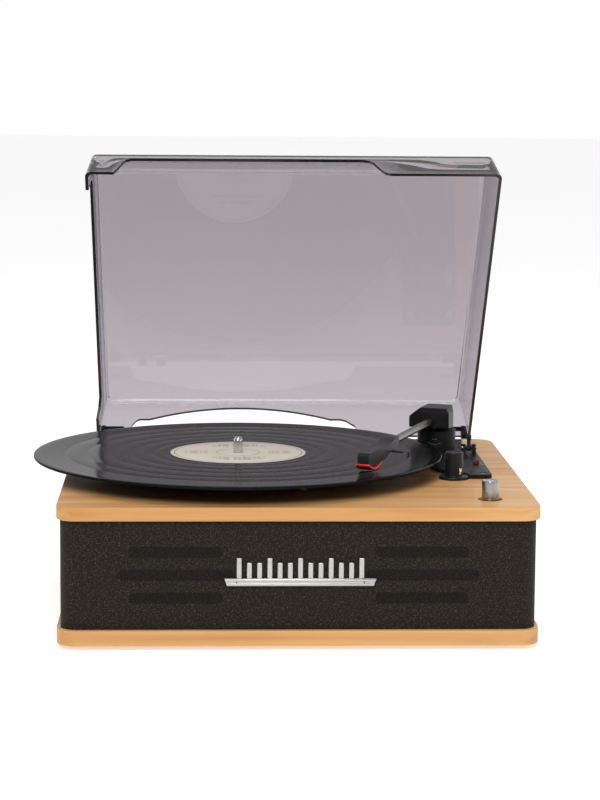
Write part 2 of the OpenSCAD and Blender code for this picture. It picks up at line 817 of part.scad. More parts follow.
module lid_shell() {
    color([0.5, 0.48, 0.52, 0.5]) opened() difference() {
        lid_form(0);
        lid_form(lid_t);
        along_y(lid_front - 5, lid_front + 14) translate([0, rim_z]) polygon([
            [-132, -5], [-131, 1], [-129.5, 3.4], [-124.6, 17], [-122.4, 20.4], [-118.5, 22.3],
            [50, 22.3], [55.6, 21], [59, 17.6], [64.6, 4.6], [66.8, 1.6], [70, 0.3], [71, -5]]);
        along_y(lid_back - 16, lid_back + 5) translate([0, rim_z]) arch_cut();
        rotate([90, 0, 90]) translate([0, rim_z, -lid_half_w - 5]) linear_extrude(20)
            polygon([[-117, -5], [-115.5, 12], [-110, 17.6], [122, 17.6], [128, 12], [130, -5]]);
    }
}

module hinge_arms() {
    color([0.08, 0.08, 0.08]) opened() for (m = [0, 1]) mirror([m, 0, 0]) difference() {
        union() {
            box([hinge_in, hinge_y - 2.4, hinge_z], [hinge_out, hinge_y + 2.2, rim_z + 12]);
            box([hinge_in, lid_back, rim_z + 1], [hinge_out, hinge_y, rim_z + 12]);
            box([130, lid_back - 0.15, rim_z + 8.4], [hinge_in + 1, lid_back + 3, rim_z + 10.8]);
            translate([0, hinge_y, hinge_z]) rod_x(hinge_r, hinge_in, hinge_out);
        }
        translate([0, hinge_y, hinge_z]) rod_x(pin_r + running, hinge_in - 1, hinge_out + 1);
    }
}

module hinge_bases() {
    color([0.12, 0.12, 0.12]) for (m = [0, 1]) mirror([m, 0, 0]) difference() {
        union() {
            box([124, back_y, hinge_z - 24], [hinge_in - 0.4, back_y + 3, hinge_z + 5]);
            box([hinge_in - 9, back_y, hinge_z - 3], [hinge_in - 0.4, hinge_y, hinge_z + 3]);
            translate([0, hinge_y, hinge_z]) rod_x(hinge_r, hinge_in - 9, hinge_in - 0.4);
        }
        translate([0, hinge_y, hinge_z]) rod_x(pin_r + 0.01, hinge_in - 10, hinge_in + 1);
    }
}

module hinge_pins() {
    color("silver") for (m = [0, 1]) mirror([m, 0, 0]) translate([0, hinge_y, hinge_z])
        rod_x(pin_r, hinge_in - 9, hinge_out);
}

base_plate();
rubber_feet();
base_screws();
front_baffle();
left_panel();
right_panel();
rear_panel();
grille_cloth();
badge_bar();
badge_slats();
left_speaker_basket();
left_speaker_cone();
left_speaker_magnet();
right_speaker_basket();
right_speaker_cone();
right_speaker_magnet();
amplifier_board();
board_standoffs();
board_capacitors();
heat_sink();
jack_plate();
dc_jack();
line_jacks();
minijacks();
top_plate();
volume_pot();
volume_knob();
motor_body();
motor_grommets();
motor_shaft();
motor_pulley();
drive_belt();
bearing_housing();
bearing_bush();
thrust_ball();
spindle();
platter();
platter_mat();
record();
record_label();
arm_deck();
deck_screws();
arm_tower();
arm_yoke();
yoke_pin();
counterweight_block();
arm_tube();
headshell();
cartridge();
stylus_guard();
finger_lift();
cue_plunger();
cue_lever();
arm_rest_post();
speed_switch();
autostop_switch();
lid_shell();
hinge_arms();
hinge_bases();
hinge_pins();
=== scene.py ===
import math
import bmesh
import bpy
from mathutils import Matrix, Vector


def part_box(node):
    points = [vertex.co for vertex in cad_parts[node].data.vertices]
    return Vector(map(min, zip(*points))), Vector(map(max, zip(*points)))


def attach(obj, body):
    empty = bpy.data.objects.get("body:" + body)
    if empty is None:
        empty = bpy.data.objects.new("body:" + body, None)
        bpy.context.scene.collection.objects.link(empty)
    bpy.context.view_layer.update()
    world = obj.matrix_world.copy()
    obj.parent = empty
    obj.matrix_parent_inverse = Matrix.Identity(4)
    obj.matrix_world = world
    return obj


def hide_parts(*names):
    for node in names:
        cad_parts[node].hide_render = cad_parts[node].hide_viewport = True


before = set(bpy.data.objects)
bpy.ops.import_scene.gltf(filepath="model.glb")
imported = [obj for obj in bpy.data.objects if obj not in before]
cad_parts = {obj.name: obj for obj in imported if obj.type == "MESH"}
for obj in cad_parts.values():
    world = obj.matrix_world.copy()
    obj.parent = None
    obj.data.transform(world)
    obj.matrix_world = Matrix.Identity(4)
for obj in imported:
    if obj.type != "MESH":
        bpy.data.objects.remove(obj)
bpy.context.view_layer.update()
scene = bpy.context.scene

# ---- the camera ----
# It stands a little over a metre and a half in front, at the height of the raised lid's
# middle, and looks slightly down and to the right with a long lens.
VIEW_YAW = 0.0411
VIEW_PITCH = 0.1377
VIEW_ROLL = 0.0073
VIEW_FROM = Vector((-0.0668, -1.7647, 0.3970))
ahead = Vector((math.sin(VIEW_YAW) * math.cos(VIEW_PITCH),
                math.cos(VIEW_YAW) * math.cos(VIEW_PITCH), -math.sin(VIEW_PITCH)))
level_right = Vector((math.cos(VIEW_YAW), -math.sin(VIEW_YAW), 0))
level_up = level_right.cross(ahead)
cam_right = math.cos(VIEW_ROLL) * level_right + math.sin(VIEW_ROLL) * level_up
cam_up = math.cos(VIEW_ROLL) * level_up - math.sin(VIEW_ROLL) * level_right
lens = bpy.data.cameras.new("camera")
lens.sensor_width = 36
lens.lens = 108.27
lens.clip_end = 50


def stood(name, data):
    """A new object of a mesh, camera or lamp, in the scene."""
    made = bpy.data.objects.new(name, data)
    scene.collection.objects.link(made)
    return made


camera = stood("camera", lens)
turn = Matrix((cam_right, cam_up, -ahead)).transposed().to_4x4()
camera.matrix_world = Matrix.Translation(VIEW_FROM) @ turn
scene.camera = camera


# ---- bottom board ----
# A solid beech board, planed, with its corners rounded and its edges eased, then stained
# honey and sprayed with clear lacquer. It is screwed up into the cabinet's sides.
def node_copy(node):
    """A CAD node's shape as one joined mesh with whole flat faces."""
    form = bmesh.new()
    form.from_mesh(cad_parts[node].data)
    bmesh.ops.remove_doubles(form, verts=form.verts, dist=2e-6)
    bmesh.ops.dissolve_limit(form, angle_limit=math.radians(0.4), verts=form.verts, edges=form.edges)
    return form


def ease_edges(form, width, steps=2, where=None, sharper=35):
    """Rounds the edges that turn more than sharper degrees, where their middles pass the test."""
    edges = []
    for edge in form.edges:
        middle = (edge.verts[0].co + edge.verts[1].co) / 2
        if len(edge.link_faces) == 2 and edge.calc_face_angle(0) > math.radians(sharper):
            if where is None or where(middle):
                edges.append(edge)
    bmesh.ops.bevel(form, geom=edges, offset=width, segments=steps, profile=0.5,
                    affect="EDGES", clamp_overlap=True)
    return form


def settled(name, form):
    """Ends a form and gives its mesh."""
    mesh = bpy.data.meshes.new(name)
    form.to_mesh(mesh)
    form.free()
    return mesh


def set_out(name, form, finishes, body, instead_of=(), smooth=38):
    """Makes a form, or a mesh, a piece that rides on a body."""
    mesh = settled(name, form) if isinstance(form, bmesh.types.BMesh) else form
    mesh.shade_smooth()
    mesh.set_sharp_from_angle(angle=math.radians(smooth))
    if mesh is form:
        mesh.materials.clear()
    for finish in finishes:
        mesh.materials.append(finish)
    piece = stood(name, mesh)
    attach(piece, body)
    if instead_of:
        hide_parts(*instead_of)
    return piece


def even_normals(piece):
    """Lets the broad faces set the shading, so that eased edges catch the light cleanly."""
    modifier = piece.modifiers.new("even_normals", "WEIGHTED_NORMAL")
    modifier.keep_sharp = True


class Wire:
    """A socket in a material's tree: sums on it add Math nodes, make() adds any other node."""

    def __init__(self, tree, socket=None):
        self.tree = tree
        self.socket = socket

    def make(self, kind, settings=None, inputs=None, output=0):
        node = self.tree.nodes.new("ShaderNode" + kind)
        for key, value in (settings or {}).items():
            if key == "stops":
                ramp = node.color_ramp
                for stop, (place, colour) in enumerate(value):
                    element = ramp.elements[stop] if stop < 2 else ramp.elements.new(place)
                    element.position = place
                    element.color = (*colour, 1)
            else:
                setattr(node, key, value)
        for key, value in (inputs or {}).items():
            if isinstance(value, Wire):
                self.tree.links.new(value.socket, node.inputs[key])
            else:
                node.inputs[key].default_value = value
        return Wire(self.tree, node.outputs[output])

    def sum(self, operation, *values):
        return self.make("Math", {"operation": operation}, dict(enumerate(values)))

    def __add__(self, other):
        return self.sum("ADD", self, other)

    __radd__ = __add__

    def __sub__(self, other):
        return self.sum("SUBTRACT", self, other)

    def __rsub__(self, other):
        return self.sum("SUBTRACT", other, self)

    def __mul__(self, other):
        return self.sum("MULTIPLY", self, other)

    __rmul__ = __mul__

    def __truediv__(self, other):
        return self.sum("DIVIDE", self, other)

    def __pow__(self, other):
        return self.sum("POWER", self, other)

    def __lt__(self, other):
        return self.sum("LESS_THAN", self, other)

    def __gt__(self, other):
        return self.sum("GREATER_THAN", self, other)

    def __abs__(self):
        return self.sum("ABSOLUTE", self)

    def sine(self):
        return self.sum("SINE", self)

    def fade(self, low, high):
        """0 up to low and 1 from high on, with a smooth rise between them."""
        return self.make("MapRange", {"interpolation_type": "SMOOTHSTEP"},
                         {"Value": self, "From Min": low, "From Max": high})

    def mix(self, none, full):
        """The colour none where this value is 0, full where it is 1."""
        ends = [c if isinstance(c, Wire) else (*c, 1) for c in (none, full)]
        return self.make("Mix", {"data_type": "RGBA"}, {0: self, 6: ends[0], 7: ends[1]}, 2)

    def ramp(self, *stops):
        return self.make("ValToRGB", {"stops": stops}, {"Fac": self})

    def places(self, scale=(1, 1, 1), shift=(0, 0, 0)):
        source = self.make("TexCoord", output="Object")
        return self.make("Mapping", {}, {"Vector": source, "Scale": scale, "Location": shift})

    def axes(self, vector):
        parts = self.make("SeparateXYZ", {}, {"Vector": vector})
        sockets = parts.socket.node.outputs
        return [Wire(self.tree, sockets[i]) for i in range(3)]

    def noise(self, vector, scale, detail=2.0, roughness=0.5, distortion=0.0):
        return self.make("TexNoise", {}, {"Vector": vector, "Scale": scale, "Detail": detail,
                                          "Roughness": roughness, "Distortion": distortion})

    def bump(self, distance, strength=1.0):
        return self.make("Bump", {}, {"Height": self, "Distance": distance, "Strength": strength})


def material(name, build, **constants):
    """A material whose build(wire) gives the wires of the sockets that vary over the surface."""
    made = bpy.data.materials.new(name)
    made.use_nodes = True
    shader = made.node_tree.nodes["Principled BSDF"]
    for key, value in constants.items():
        shader.inputs[key.replace("_", " ")].default_value = value
    for key, wire in build(Wire(made.node_tree)).items():
        made.node_tree.links.new(wire.socket, shader.inputs[key])
    return made


def beech(wire):
    growth = wire.noise(wire.places((2.2, 42, 42)), 1.6, 3, 0.55, 0.8)
    streaks = wire.noise(wire.places((9, 420, 420)), 1.0, 3, 0.6)
    flecks = wire.noise(wire.places((150, 1500, 1500)), 1.0, 2, 0.5)
    patches = wire.noise(wire.places((3, 3, 3)), 1.5, 1)
    tone = growth * 0.66 + streaks * 0.14 + patches * 0.26 - 0.03
    wood = tone.ramp((0.30, (0.470, 0.215, 0.072)), (0.46, (0.600, 0.315, 0.120)),
                     (0.58, (0.690, 0.395, 0.165)), (0.74, (0.800, 0.500, 0.235)))
    wood = (flecks.fade(0.62, 0.78) * 0.14).mix(wood, (0.38, 0.170, 0.060))
    ripple = streaks * 0.5 + flecks * 0.5
    return {"Base Color": wood, "Roughness": 0.30 + 0.14 * streaks, "Normal": ripple.bump(0.00004, 0.5)}


wood = material("lacquered_beech", beech, Coat_Weight=0.06, Coat_Roughness=0.06, Coat_IOR=1.4,
                Specular_IOR_Level=0.06)


def near_rim(node, inset):
    """A test for points near a board's outer outline."""
    low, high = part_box(node)
    return lambda p: (p.x < low[0] + inset or p.x > high[0] - inset
                      or p.y < low[1] + inset or p.y > high[1] - inset)


def centre_of(node):
    """The middle of a node's outline, seen from above."""
    low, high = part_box(node)
    return (low[0] + high[0]) / 2, (low[1] + high[1]) / 2


EDGE_EASE = 0.0009
RIM_BAND = 0.005
board = ease_edges(node_copy("base_plate"), EDGE_EASE, 3, near_rim("base_plate", RIM_BAND))
bottom_board = set_out("bottom_board", board, [wood], "root", ["base_plate"])
even_normals(bottom_board)


# ---- feet ----
# Four round rubber feet, moulded with a rounded sole edge, a shallow groove and a dished
# middle where the fixing screw goes up into the board.
def arc(across, up, radius, start, stop, steps=6):
    """Points on an arc in a profile, with angles in degrees from straight out."""
    turns = [math.radians(start + (stop - start) * i / steps) for i in range(steps + 1)]
    return [(across + radius * math.cos(a), up + radius * math.sin(a)) for a in turns]


def turned(profile, centre=(0, 0), steps=64):
    """Turns a profile of (radius, height) points about an upright line through centre."""
    form = bmesh.new()
    rings = []
    for radius, up in profile:
        spots = 1 if radius < 1e-7 else steps
        rings.append([form.verts.new((centre[0] + radius * math.cos(math.tau * i / steps),
                                      centre[1] + radius * math.sin(math.tau * i / steps), up))
                      for i in range(spots)])
    pairs = list(zip(rings, rings[1:]))
    if len(rings[0]) > 1:
        pairs.append((rings[-1], rings[0]))
    for ring, following in pairs:
        for i in range(steps):
            j = (i + 1) % steps
            corners = [ring[i % len(ring)], ring[j % len(ring)],
                       following[j % len(following)], following[i % len(following)]]
            corners = list(dict.fromkeys(corners))
            if len(corners) > 2:
                form.faces.new(corners)
    bmesh.ops.recalc_face_normals(form, faces=form.faces)
    return form


def tree_of(name, sockets):
    """An empty Geometry Nodes tree with named inputs, and its input node."""
    tree = bpy.data.node_groups.new(name, "GeometryNodeTree")
    for label, kind in sockets:
        tree.interface.new_socket(label, in_out="INPUT", socket_type="NodeSocket" + kind)
    tree.interface.new_socket("Result", in_out="OUTPUT", socket_type="NodeSocketGeometry")
    return tree, tree.nodes.new("NodeGroupInput")


def add_node(tree, kind, settings=None, inputs=None):
    """Adds a node, sets its settings, then its sockets' values, or links from sockets or nodes."""
    node = tree.nodes.new(kind)
    for key, value in (settings or {}).items():
        setattr(node, key, value)
    for key, value in (inputs or {}).items():
        if isinstance(value, bpy.types.Node):
            value = value.outputs[0]
        if isinstance(value, bpy.types.NodeSocket):
            tree.links.new(value, node.inputs[key])
        else:
            node.inputs[key].default_value = value
    return node


def close_tree(tree, geometry, finish):
    """Ends a tree: instances made real, one finish set, and out."""
    real = add_node(tree, "GeometryNodeRealizeInstances", {}, {"Geometry": geometry})
    dressed = add_node(tree, "GeometryNodeSetMaterial", {}, {"Geometry": real, "Material": finish})
    add_node(tree, "NodeGroupOutput", {}, {"Result": dressed})


def grown(name, tree, points, **values):
    """The plain mesh that a tree makes from points with the values of its named inputs."""
    seed_mesh = bpy.data.meshes.new(name + "_seed")
    seed_mesh.from_pydata([tuple(p) for p in points], [], [])
    holder = stood(name + "_seed", seed_mesh)
    modifier = holder.modifiers.new("nodes", "NODES")
    modifier.node_group = tree
    for item in tree.interface.items_tree:
        if item.in_out == "INPUT" and item.name in values:
            modifier[item.identifier] = values[item.name]
    evaluated = holder.evaluated_get(bpy.context.evaluated_depsgraph_get())
    mesh = bpy.data.meshes.new_from_object(evaluated)
    mesh.name = name
    bpy.data.objects.remove(holder)
    return mesh


repeat_tree, given = tree_of("repeat_on_points", [
    ("Points", "Geometry"), ("Shape", "Object"), ("Tilt", "Vector"), ("Twist", "Float"),
    ("Seed", "Int"), ("Finish", "Material")])
shape_info = add_node(repeat_tree, "GeometryNodeObjectInfo", {}, {
    "Object": given.outputs["Shape"], "As Instance": True})
set_down = add_node(repeat_tree, "GeometryNodeInstanceOnPoints", {}, {
    "Points": given.outputs["Points"], "Instance": shape_info.outputs["Geometry"],
    "Rotation": given.outputs["Tilt"]})
any_turn = add_node(repeat_tree, "FunctionNodeRandomValue", {"data_type": "FLOAT"},
                    {"Seed": given.outputs["Seed"], 3: given.outputs["Twist"]})
turn_vector = add_node(repeat_tree, "ShaderNodeCombineXYZ", {}, {"Z": any_turn.outputs[1]})
twisted = add_node(repeat_tree, "GeometryNodeRotateInstances", {}, {
    "Instances": set_down, "Rotation": turn_vector})
close_tree(repeat_tree, twisted, given.outputs["Finish"])


def repeated(name, form, places, finish, body, instead_of=(), tilt=(0, 0, 0), twist=0.0, seed=1):
    """A piece with a form set down at each place, tilted, and twisted by chance up to twist."""
    unit = stood(name + "_unit", settled(name + "_unit", form))
    mesh = grown(name, repeat_tree, places, Shape=unit, Tilt=tilt, Twist=twist, Seed=seed, Finish=finish)
    bpy.data.objects.remove(unit)
    return set_out(name, mesh, [finish], body, instead_of)


def moulded(name, colour, rough, grain=2600, depth=0.00003, **constants):
    """A moulded plastic, rubber or paint: faint shade drift, spark-eroded grain, uneven gloss."""
    def build(wire):
        fine = wire.noise(wire.places(), grain, 2, 0.6)
        broad = wire.noise(wire.places(), 55, 3, 0.5)
        dark = tuple(0.72 * c for c in colour)
        light = tuple(min(1.0, 1.28 * c) for c in colour)
        return {"Base Color": broad.fade(0.25, 0.75).mix(dark, light),
                "Roughness": rough * (0.82 + 0.36 * broad), "Normal": fine.bump(depth, 0.6)}
    return material(name, build, **constants)


rubber = moulded("foot_rubber", (0.020, 0.020, 0.021), 0.75, 1800, 0.00005, Specular_IOR_Level=0.25)
foot_low, foot_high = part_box("rubber_feet")
FOOT_R = 0.010
FOOT_GROOVE = 0.0004
SOLE_ROUND = 0.001
DISH_R = 0.0045
DISH_DEPTH = 0.0012
foot_h = foot_high[2] - foot_low[2]
foot = turned([(0, foot_h), (FOOT_R, foot_h), (FOOT_R, foot_h * 0.62),
               (FOOT_R - FOOT_GROOVE, foot_h * 0.56), (FOOT_R, foot_h * 0.5)]
              + arc(FOOT_R - SOLE_ROUND, SOLE_ROUND, SOLE_ROUND, 0, -90, 5)
              + [(DISH_R, 0), (DISH_R - 0.0005, DISH_DEPTH), (0, DISH_DEPTH)], steps=48)
foot_spots = [(x, y, 0) for x in (foot_low[0] + FOOT_R, foot_high[0] - FOOT_R)
              for y in (foot_low[1] + FOOT_R, foot_high[1] - FOOT_R)]
repeated("feet", foot, foot_spots, rubber, "root", ["rubber_feet"])


# ---- bottom screws ----
# Four countersunk wood screws with cross recesses, zinc plated, driven up through the bottom
# board into the side panels.
def cut_out(form, tool):
    """Cuts the form called tool out of form."""
    objects = [stood("part", settled("part", part)) for part in (form, tool)]
    modifier = objects[0].modifiers.new("cut", "BOOLEAN")
    modifier.object = objects[1]
    modifier.solver = "EXACT"
    evaluated = objects[0].evaluated_get(bpy.context.evaluated_depsgraph_get())
    result = bmesh.new()
    result.from_mesh(evaluated.to_mesh())
    for holder in objects:
        bpy.data.objects.remove(holder)
    return result


def slab(low, high):
    """A box between two corners."""
    form = bmesh.new()
    bmesh.ops.create_cube(form, size=1)
    low, high = Vector(low), Vector(high)
    for vert in form.verts:
        vert.co = low + Vector(((vert.co[i] + 0.5) * (high - low)[i] for i in range(3)))
    return form


def join(*forms):
    """Puts several forms in one mesh."""
    whole = forms[0]
    for form in forms[1:]:
        mesh = settled("part", form)
        whole.from_mesh(mesh)
        bpy.data.meshes.remove(mesh)
    return whole


def screw_form(head_r, head_h, shank_r, shank_l, steps=28):
    """A screw that points down, its head's top at height zero, with a cross recess."""
    head = turned([(0, 0)] + arc(head_r - head_h * 0.6, -head_h * 0.6, head_h * 0.6, 90, 0, 4)
                  + [(head_r, -head_h), (shank_r, -head_h), (shank_r, -shank_l + shank_r),
                     (0, -shank_l)], steps=steps)
    arm = head_r * 0.58
    half = head_r * 0.13
    for tool in (slab((-arm, -half, -head_h * 0.7), (arm, half, 1)),
                 slab((-half, -arm, -head_h * 0.7), (half, arm, 1))):
        head = cut_out(head, tool)
    return head


def metal(name, colour, rough, lines=(900, 900, 900), depth=0.00001):
    """A metal with fine drawn or ground lines across the stretched axes and uneven polish."""
    def build(wire):
        drawn = wire.noise(wire.places(lines), 1.0, 3, 0.6)
        cloud = wire.noise(wire.places(), 90, 2, 0.5)
        dark = tuple(0.82 * c for c in colour)
        return {"Base Color": drawn.mix(dark, colour),
                "Roughness": rough * (0.7 + 0.4 * drawn + 0.3 * cloud),
                "Normal": drawn.bump(depth, 0.5)}
    return material(name, build, Metallic=1.0)


zinc = metal("zinc_plate", (0.66, 0.67, 0.68), 0.32)
screw_low, screw_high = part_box("base_screws")
BASE_HEAD_R = 0.0034
SCREW_Y = 0.07
side_spots = [(x, y, screw_low[2]) for x in (screw_low[0] + BASE_HEAD_R, screw_high[0] - BASE_HEAD_R)
              for y in (-SCREW_Y, SCREW_Y)]
base_screw = screw_form(BASE_HEAD_R, 0.0023, 0.00175, screw_high[2] - screw_low[2])
repeated("bottom_screws", base_screw, side_spots, zinc, "root", ["base_screws"],
         (math.pi, 0, 0), 3.0, 5)


# ---- cabinet boards ----
# Fibreboard sides, baffle and back, glued at the corners and rolled with black paint. The
# baffle has six slots with round ends for the sound, three in front of each loudspeaker.
def dress(finish, *nodes):
    """Gives CAD nodes, whose shape stays, a finish."""
    for node in nodes:
        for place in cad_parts[node].material_slots:
            place.material = finish


def rolled_paint(wire):
    nap = wire.noise(wire.places(), 900, 4, 0.65)
    fibre = wire.noise(wire.places((60, 60, 14)), 2.0, 4, 0.6)
    return {"Base Color": fibre.mix((0.016, 0.015, 0.014), (0.034, 0.032, 0.030)),
            "Roughness": 0.55 + 0.25 * nap, "Normal": (nap * 0.7 + fibre * 0.3).bump(0.00012, 0.5)}


black_paint = material("rolled_black_paint", rolled_paint, Specular_IOR_Level=0.3)
dress(black_paint, "front_baffle", "left_panel", "right_panel")
back_board = ease_edges(node_copy("rear_panel"), 0.0006, 2, near_rim("rear_panel", 0.004))
set_out("back_board", back_board, [black_paint], "root", ["rear_panel"])


# ---- speaker cloth ----
# One strip of loose linen weave in dark brown and beige threads, stretched round the front
# corners and glued along the sides. Darker bands of painted shade lie over the slots behind it,
# standing in for the dark inside of the cabinet that shows through.
cloth_low, cloth_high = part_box("grille_cloth")
CLOTH_T = 0.0008
CLOTH_CORNER = 0.0115 - CLOTH_T / 2
CLOTH_INSET = 0.0004
cloth_half = cloth_high[0] - CLOTH_T / 2
cloth_front = cloth_low[1] + CLOTH_T / 2
cloth_back = cloth_high[1] - CLOTH_INSET


def run(start, stop, steps):
    """Points from start to stop, without the last."""
    return [Vector(start).lerp(Vector(stop), i / steps) for i in range(steps)]


def corner(centre, radius, start, stop, steps):
    """Points on a corner's arc, angles in degrees, without the last."""
    turns = [math.radians(start + (stop - start) * i / steps) for i in range(steps)]
    return [Vector((centre[0] + radius * math.cos(a), centre[1] + radius * math.sin(a))) for a in turns]


turn_y = cloth_front + CLOTH_CORNER
turn_x = cloth_half - CLOTH_CORNER
strip = run((-cloth_half, cloth_back), (-cloth_half, turn_y), 30)
strip += corner((-turn_x, turn_y), CLOTH_CORNER, 180, 270, 14)
strip += run((-turn_x, cloth_front), (turn_x, cloth_front), 44)
strip += corner((turn_x, turn_y), CLOTH_CORNER, 270, 360, 14)
strip += run((cloth_half, turn_y), (cloth_half, cloth_back), 30) + [Vector((cloth_half, cloth_back))]
lengths = [0.0]
for near, far in zip(strip, strip[1:]):
    lengths.append(lengths[-1] + (far - near).length)
CLOTH_ROWS = 10
CLOTH_SLACK = 0.00005
cloth_h = cloth_high[2] - cloth_low[2]
form = bmesh.new()
uv_layer = form.loops.layers.uv.new("weave")
sides = []
for out in (1, -1):
    grid = []
    for i, spot in enumerate(strip):
        along = (strip[min(i + 1, len(strip) - 1)] - strip[max(i - 1, 0)]).normalized()
        outward = Vector((along.y, -along.x)) * out * (CLOTH_T / 2 - 0.00002)
        rise = (cloth_h - 2 * CLOTH_SLACK) / CLOTH_ROWS
        grid.append([form.verts.new((spot.x + outward.x, spot.y + outward.y,
                                     cloth_low[2] + CLOTH_SLACK + rise * k))
                     for k in range(CLOTH_ROWS + 1)])
    sides.append(grid)


def cloth_face(corners):
    """Adds one face of (side, column, row) corners, with the cloth's own measures as its UV."""
    face = form.faces.new([sides[s][i][k] for s, i, k in corners])
    for loop, (s, i, k) in zip(face.loops, corners):
        loop[uv_layer].uv = (lengths[i], cloth_h * k / CLOTH_ROWS)


last = len(strip) - 1
for i in range(last):
    for k in range(CLOTH_ROWS):
        cloth_face([(0, i, k), (0, i + 1, k), (0, i + 1, k + 1), (0, i, k + 1)])
        cloth_face([(1, i, k + 1), (1, i + 1, k + 1), (1, i + 1, k), (1, i, k)])
    cloth_face([(1, i, 0), (1, i + 1, 0), (0, i + 1, 0), (0, i, 0)])
    cloth_face([(0, i, CLOTH_ROWS), (0, i + 1, CLOTH_ROWS), (1, i + 1, CLOTH_ROWS), (1, i, CLOTH_ROWS)])
for k in range(CLOTH_ROWS):
    cloth_face([(0, 0, k), (0, 0, k + 1), (1, 0, k + 1), (1, 0, k)])
    cloth_face([(0, last, k + 1), (0, last, k), (1, last, k), (1, last, k + 1)])
bmesh.ops.recalc_face_normals(form, faces=form.faces)

THREAD = 0.00078
SLOT_X = 0.0845
SLOT_PITCH = 0.016
SLOT_H = 0.0082
slot_mid = cloth_low[2] + 0.0381


def linen(wire):
    uv = wire.make("UVMap", {"uv_map": "weave"})
    across, up, _ = wire.axes(uv)
    warp = (across * (math.pi / THREAD)).sine()
    weft = (up * (math.pi / THREAD)).sine()
    over = (warp * weft).fade(-0.4, 0.4)

    def threads(along, upward):
        spread = wire.make("Mapping", {}, {"Vector": uv, "Scale": (along, upward, 1)})
        return wire.noise(spread, 1.0, 2, 0.6)

    slub = threads(1500, 420)
    slub_up = threads(420, 1500)
    cloud = threads(60, 60)
    light = (slub.fade(0.50, 0.72) * over + slub_up.fade(0.50, 0.72) * (1 - over)) * (0.55 + 0.7 * cloud)
    thread = light.mix((0.014, 0.011, 0.0085), (0.110, 0.088, 0.062))
    gap = (abs(warp).fade(0.0, 0.55)) * (abs(weft).fade(0.0, 0.55))
    thread = gap.mix((0.010, 0.008, 0.007), thread)
    # Painted shade: rounded bands where the baffle's slots lie behind the cloth darken the thread colour,
    # standing in for the unlit cavity seen through the weave.
    x, y, z = wire.axes(wire.places())
    behind = 0.0
    for row, width in ((-1, 0.065), (0, 0.080), (1, 0.065)):
        rise = (z - (slot_mid + row * SLOT_PITCH)) / (SLOT_H / 2)
        reach = (abs(abs(x) - SLOT_X) - (width / 2 - SLOT_H / 2)) / (SLOT_H / 2)
        reach = reach.sum("MAXIMUM", reach, 0.0)
        behind = (1 - (rise * rise + reach * reach).fade(0.75, 1.1)) + behind
    behind = behind * (y < cloth_front + 0.004)
    thread = (behind * 0.62).mix(thread, (0.0040, 0.0034, 0.0030))
    height = over * 0.5 + gap * 0.5
    return {"Base Color": thread, "Roughness": 0.78 + 0.15 * cloud, "Normal": height.bump(0.00012, 0.6)}


weave = material("speaker_linen", linen, Sheen_Weight=0.08, Sheen_Roughness=0.5, Specular_IOR_Level=0.12)
cloth = set_out("speaker_cloth", form, [weave], "root", ["grille_cloth"])

# ---- front badge ----
# A cast bar with a shallow groove along its face, satin silver plated, held to the baffle by
# two pins, and over it a row of plain upright bars of the same metal.
satin = metal("satin_silver", (0.60, 0.588, 0.57), 0.40, (80, 900, 900), 0.000008)
bar_low, bar_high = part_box("badge_bar")
BAR_SLANT = 0.002
bar_mid = (bar_low[2] + bar_high[2]) / 2
bar_half = (bar_high[2] - bar_low[2]) / 2
bar_back = bar_high[1]
bar_front = bar_low[1]
bar_x, _ = centre_of("badge_bar")
half_w = (bar_high[0] - bar_low[0]) / 2
CHAMFER = 0.0009
GROOVE = 0.0006
section = [(bar_back, -1), (bar_front + CHAMFER, -1), (bar_front, -0.72), (bar_front, -0.30),
           (bar_front + GROOVE, -0.22), (bar_front + GROOVE, 0.22), (bar_front, 0.30),
           (bar_front, 0.72), (bar_front + CHAMFER, 1), (bar_back, 1)]


def bridged(form, ends):
    """Closes the form between two loops of corners, with a face on each."""
    for i in range(len(ends[0])):
        j = (i + 1) % len(ends[0])
        form.faces.new([ends[0][i], ends[0][j], ends[1][j], ends[1][i]])
    form.faces.new(ends[0])
    form.faces.new(list(reversed(ends[1])))
    bmesh.ops.recalc_face_normals(form, faces=form.faces)
    return form


form = bmesh.new()
ends = [[form.verts.new((bar_x + side * (half_w - BAR_SLANT * (1 - up) / 2), y, bar_mid + up * bar_half))
         for y, up in section] for side in (-1, 1)]
bar = ease_edges(bridged(form, ends), 0.00022, 2, sharper=20)
set_out("badge_rail", bar, [satin], "root", ["badge_bar"])

slat_tree, given = tree_of("bars_in_a_row", [
    ("Points", "Geometry"), ("Count", "Int"), ("Pitch", "Float"), ("Width", "Float"),
    ("Depth", "Float"), ("Lowest", "Float"), ("Swing", "Float"), ("Finish", "Material")])
step = add_node(slat_tree, "ShaderNodeCombineXYZ", {}, {"X": given.outputs["Pitch"]})
row = add_node(slat_tree, "GeometryNodeMeshLine", {"mode": "OFFSET"}, {
    "Count": given.outputs["Count"], "Offset": step})
at_points = add_node(slat_tree, "GeometryNodeInstanceOnPoints", {}, {
    "Points": given.outputs["Points"], "Instance": row})
line = add_node(slat_tree, "GeometryNodeRealizeInstances", {}, {"Geometry": at_points})
TURN_EACH = math.radians(60)
phase = Wire(slat_tree, add_node(slat_tree, "GeometryNodeInputIndex").outputs[0]) * TURN_EACH
swing = Wire(slat_tree, given.outputs["Swing"])
tall = abs(phase.sum("COSINE", phase)) * swing + Wire(slat_tree, given.outputs["Lowest"])
unit_size = add_node(slat_tree, "ShaderNodeCombineXYZ", {}, {
    "X": given.outputs["Width"], "Y": given.outputs["Depth"], "Z": 1.0})
block = add_node(slat_tree, "GeometryNodeMeshCube", {}, {"Size": unit_size})
raised = add_node(slat_tree, "GeometryNodeTransform", {}, {
    "Geometry": block, "Translation": (0, 0, 0.5)})
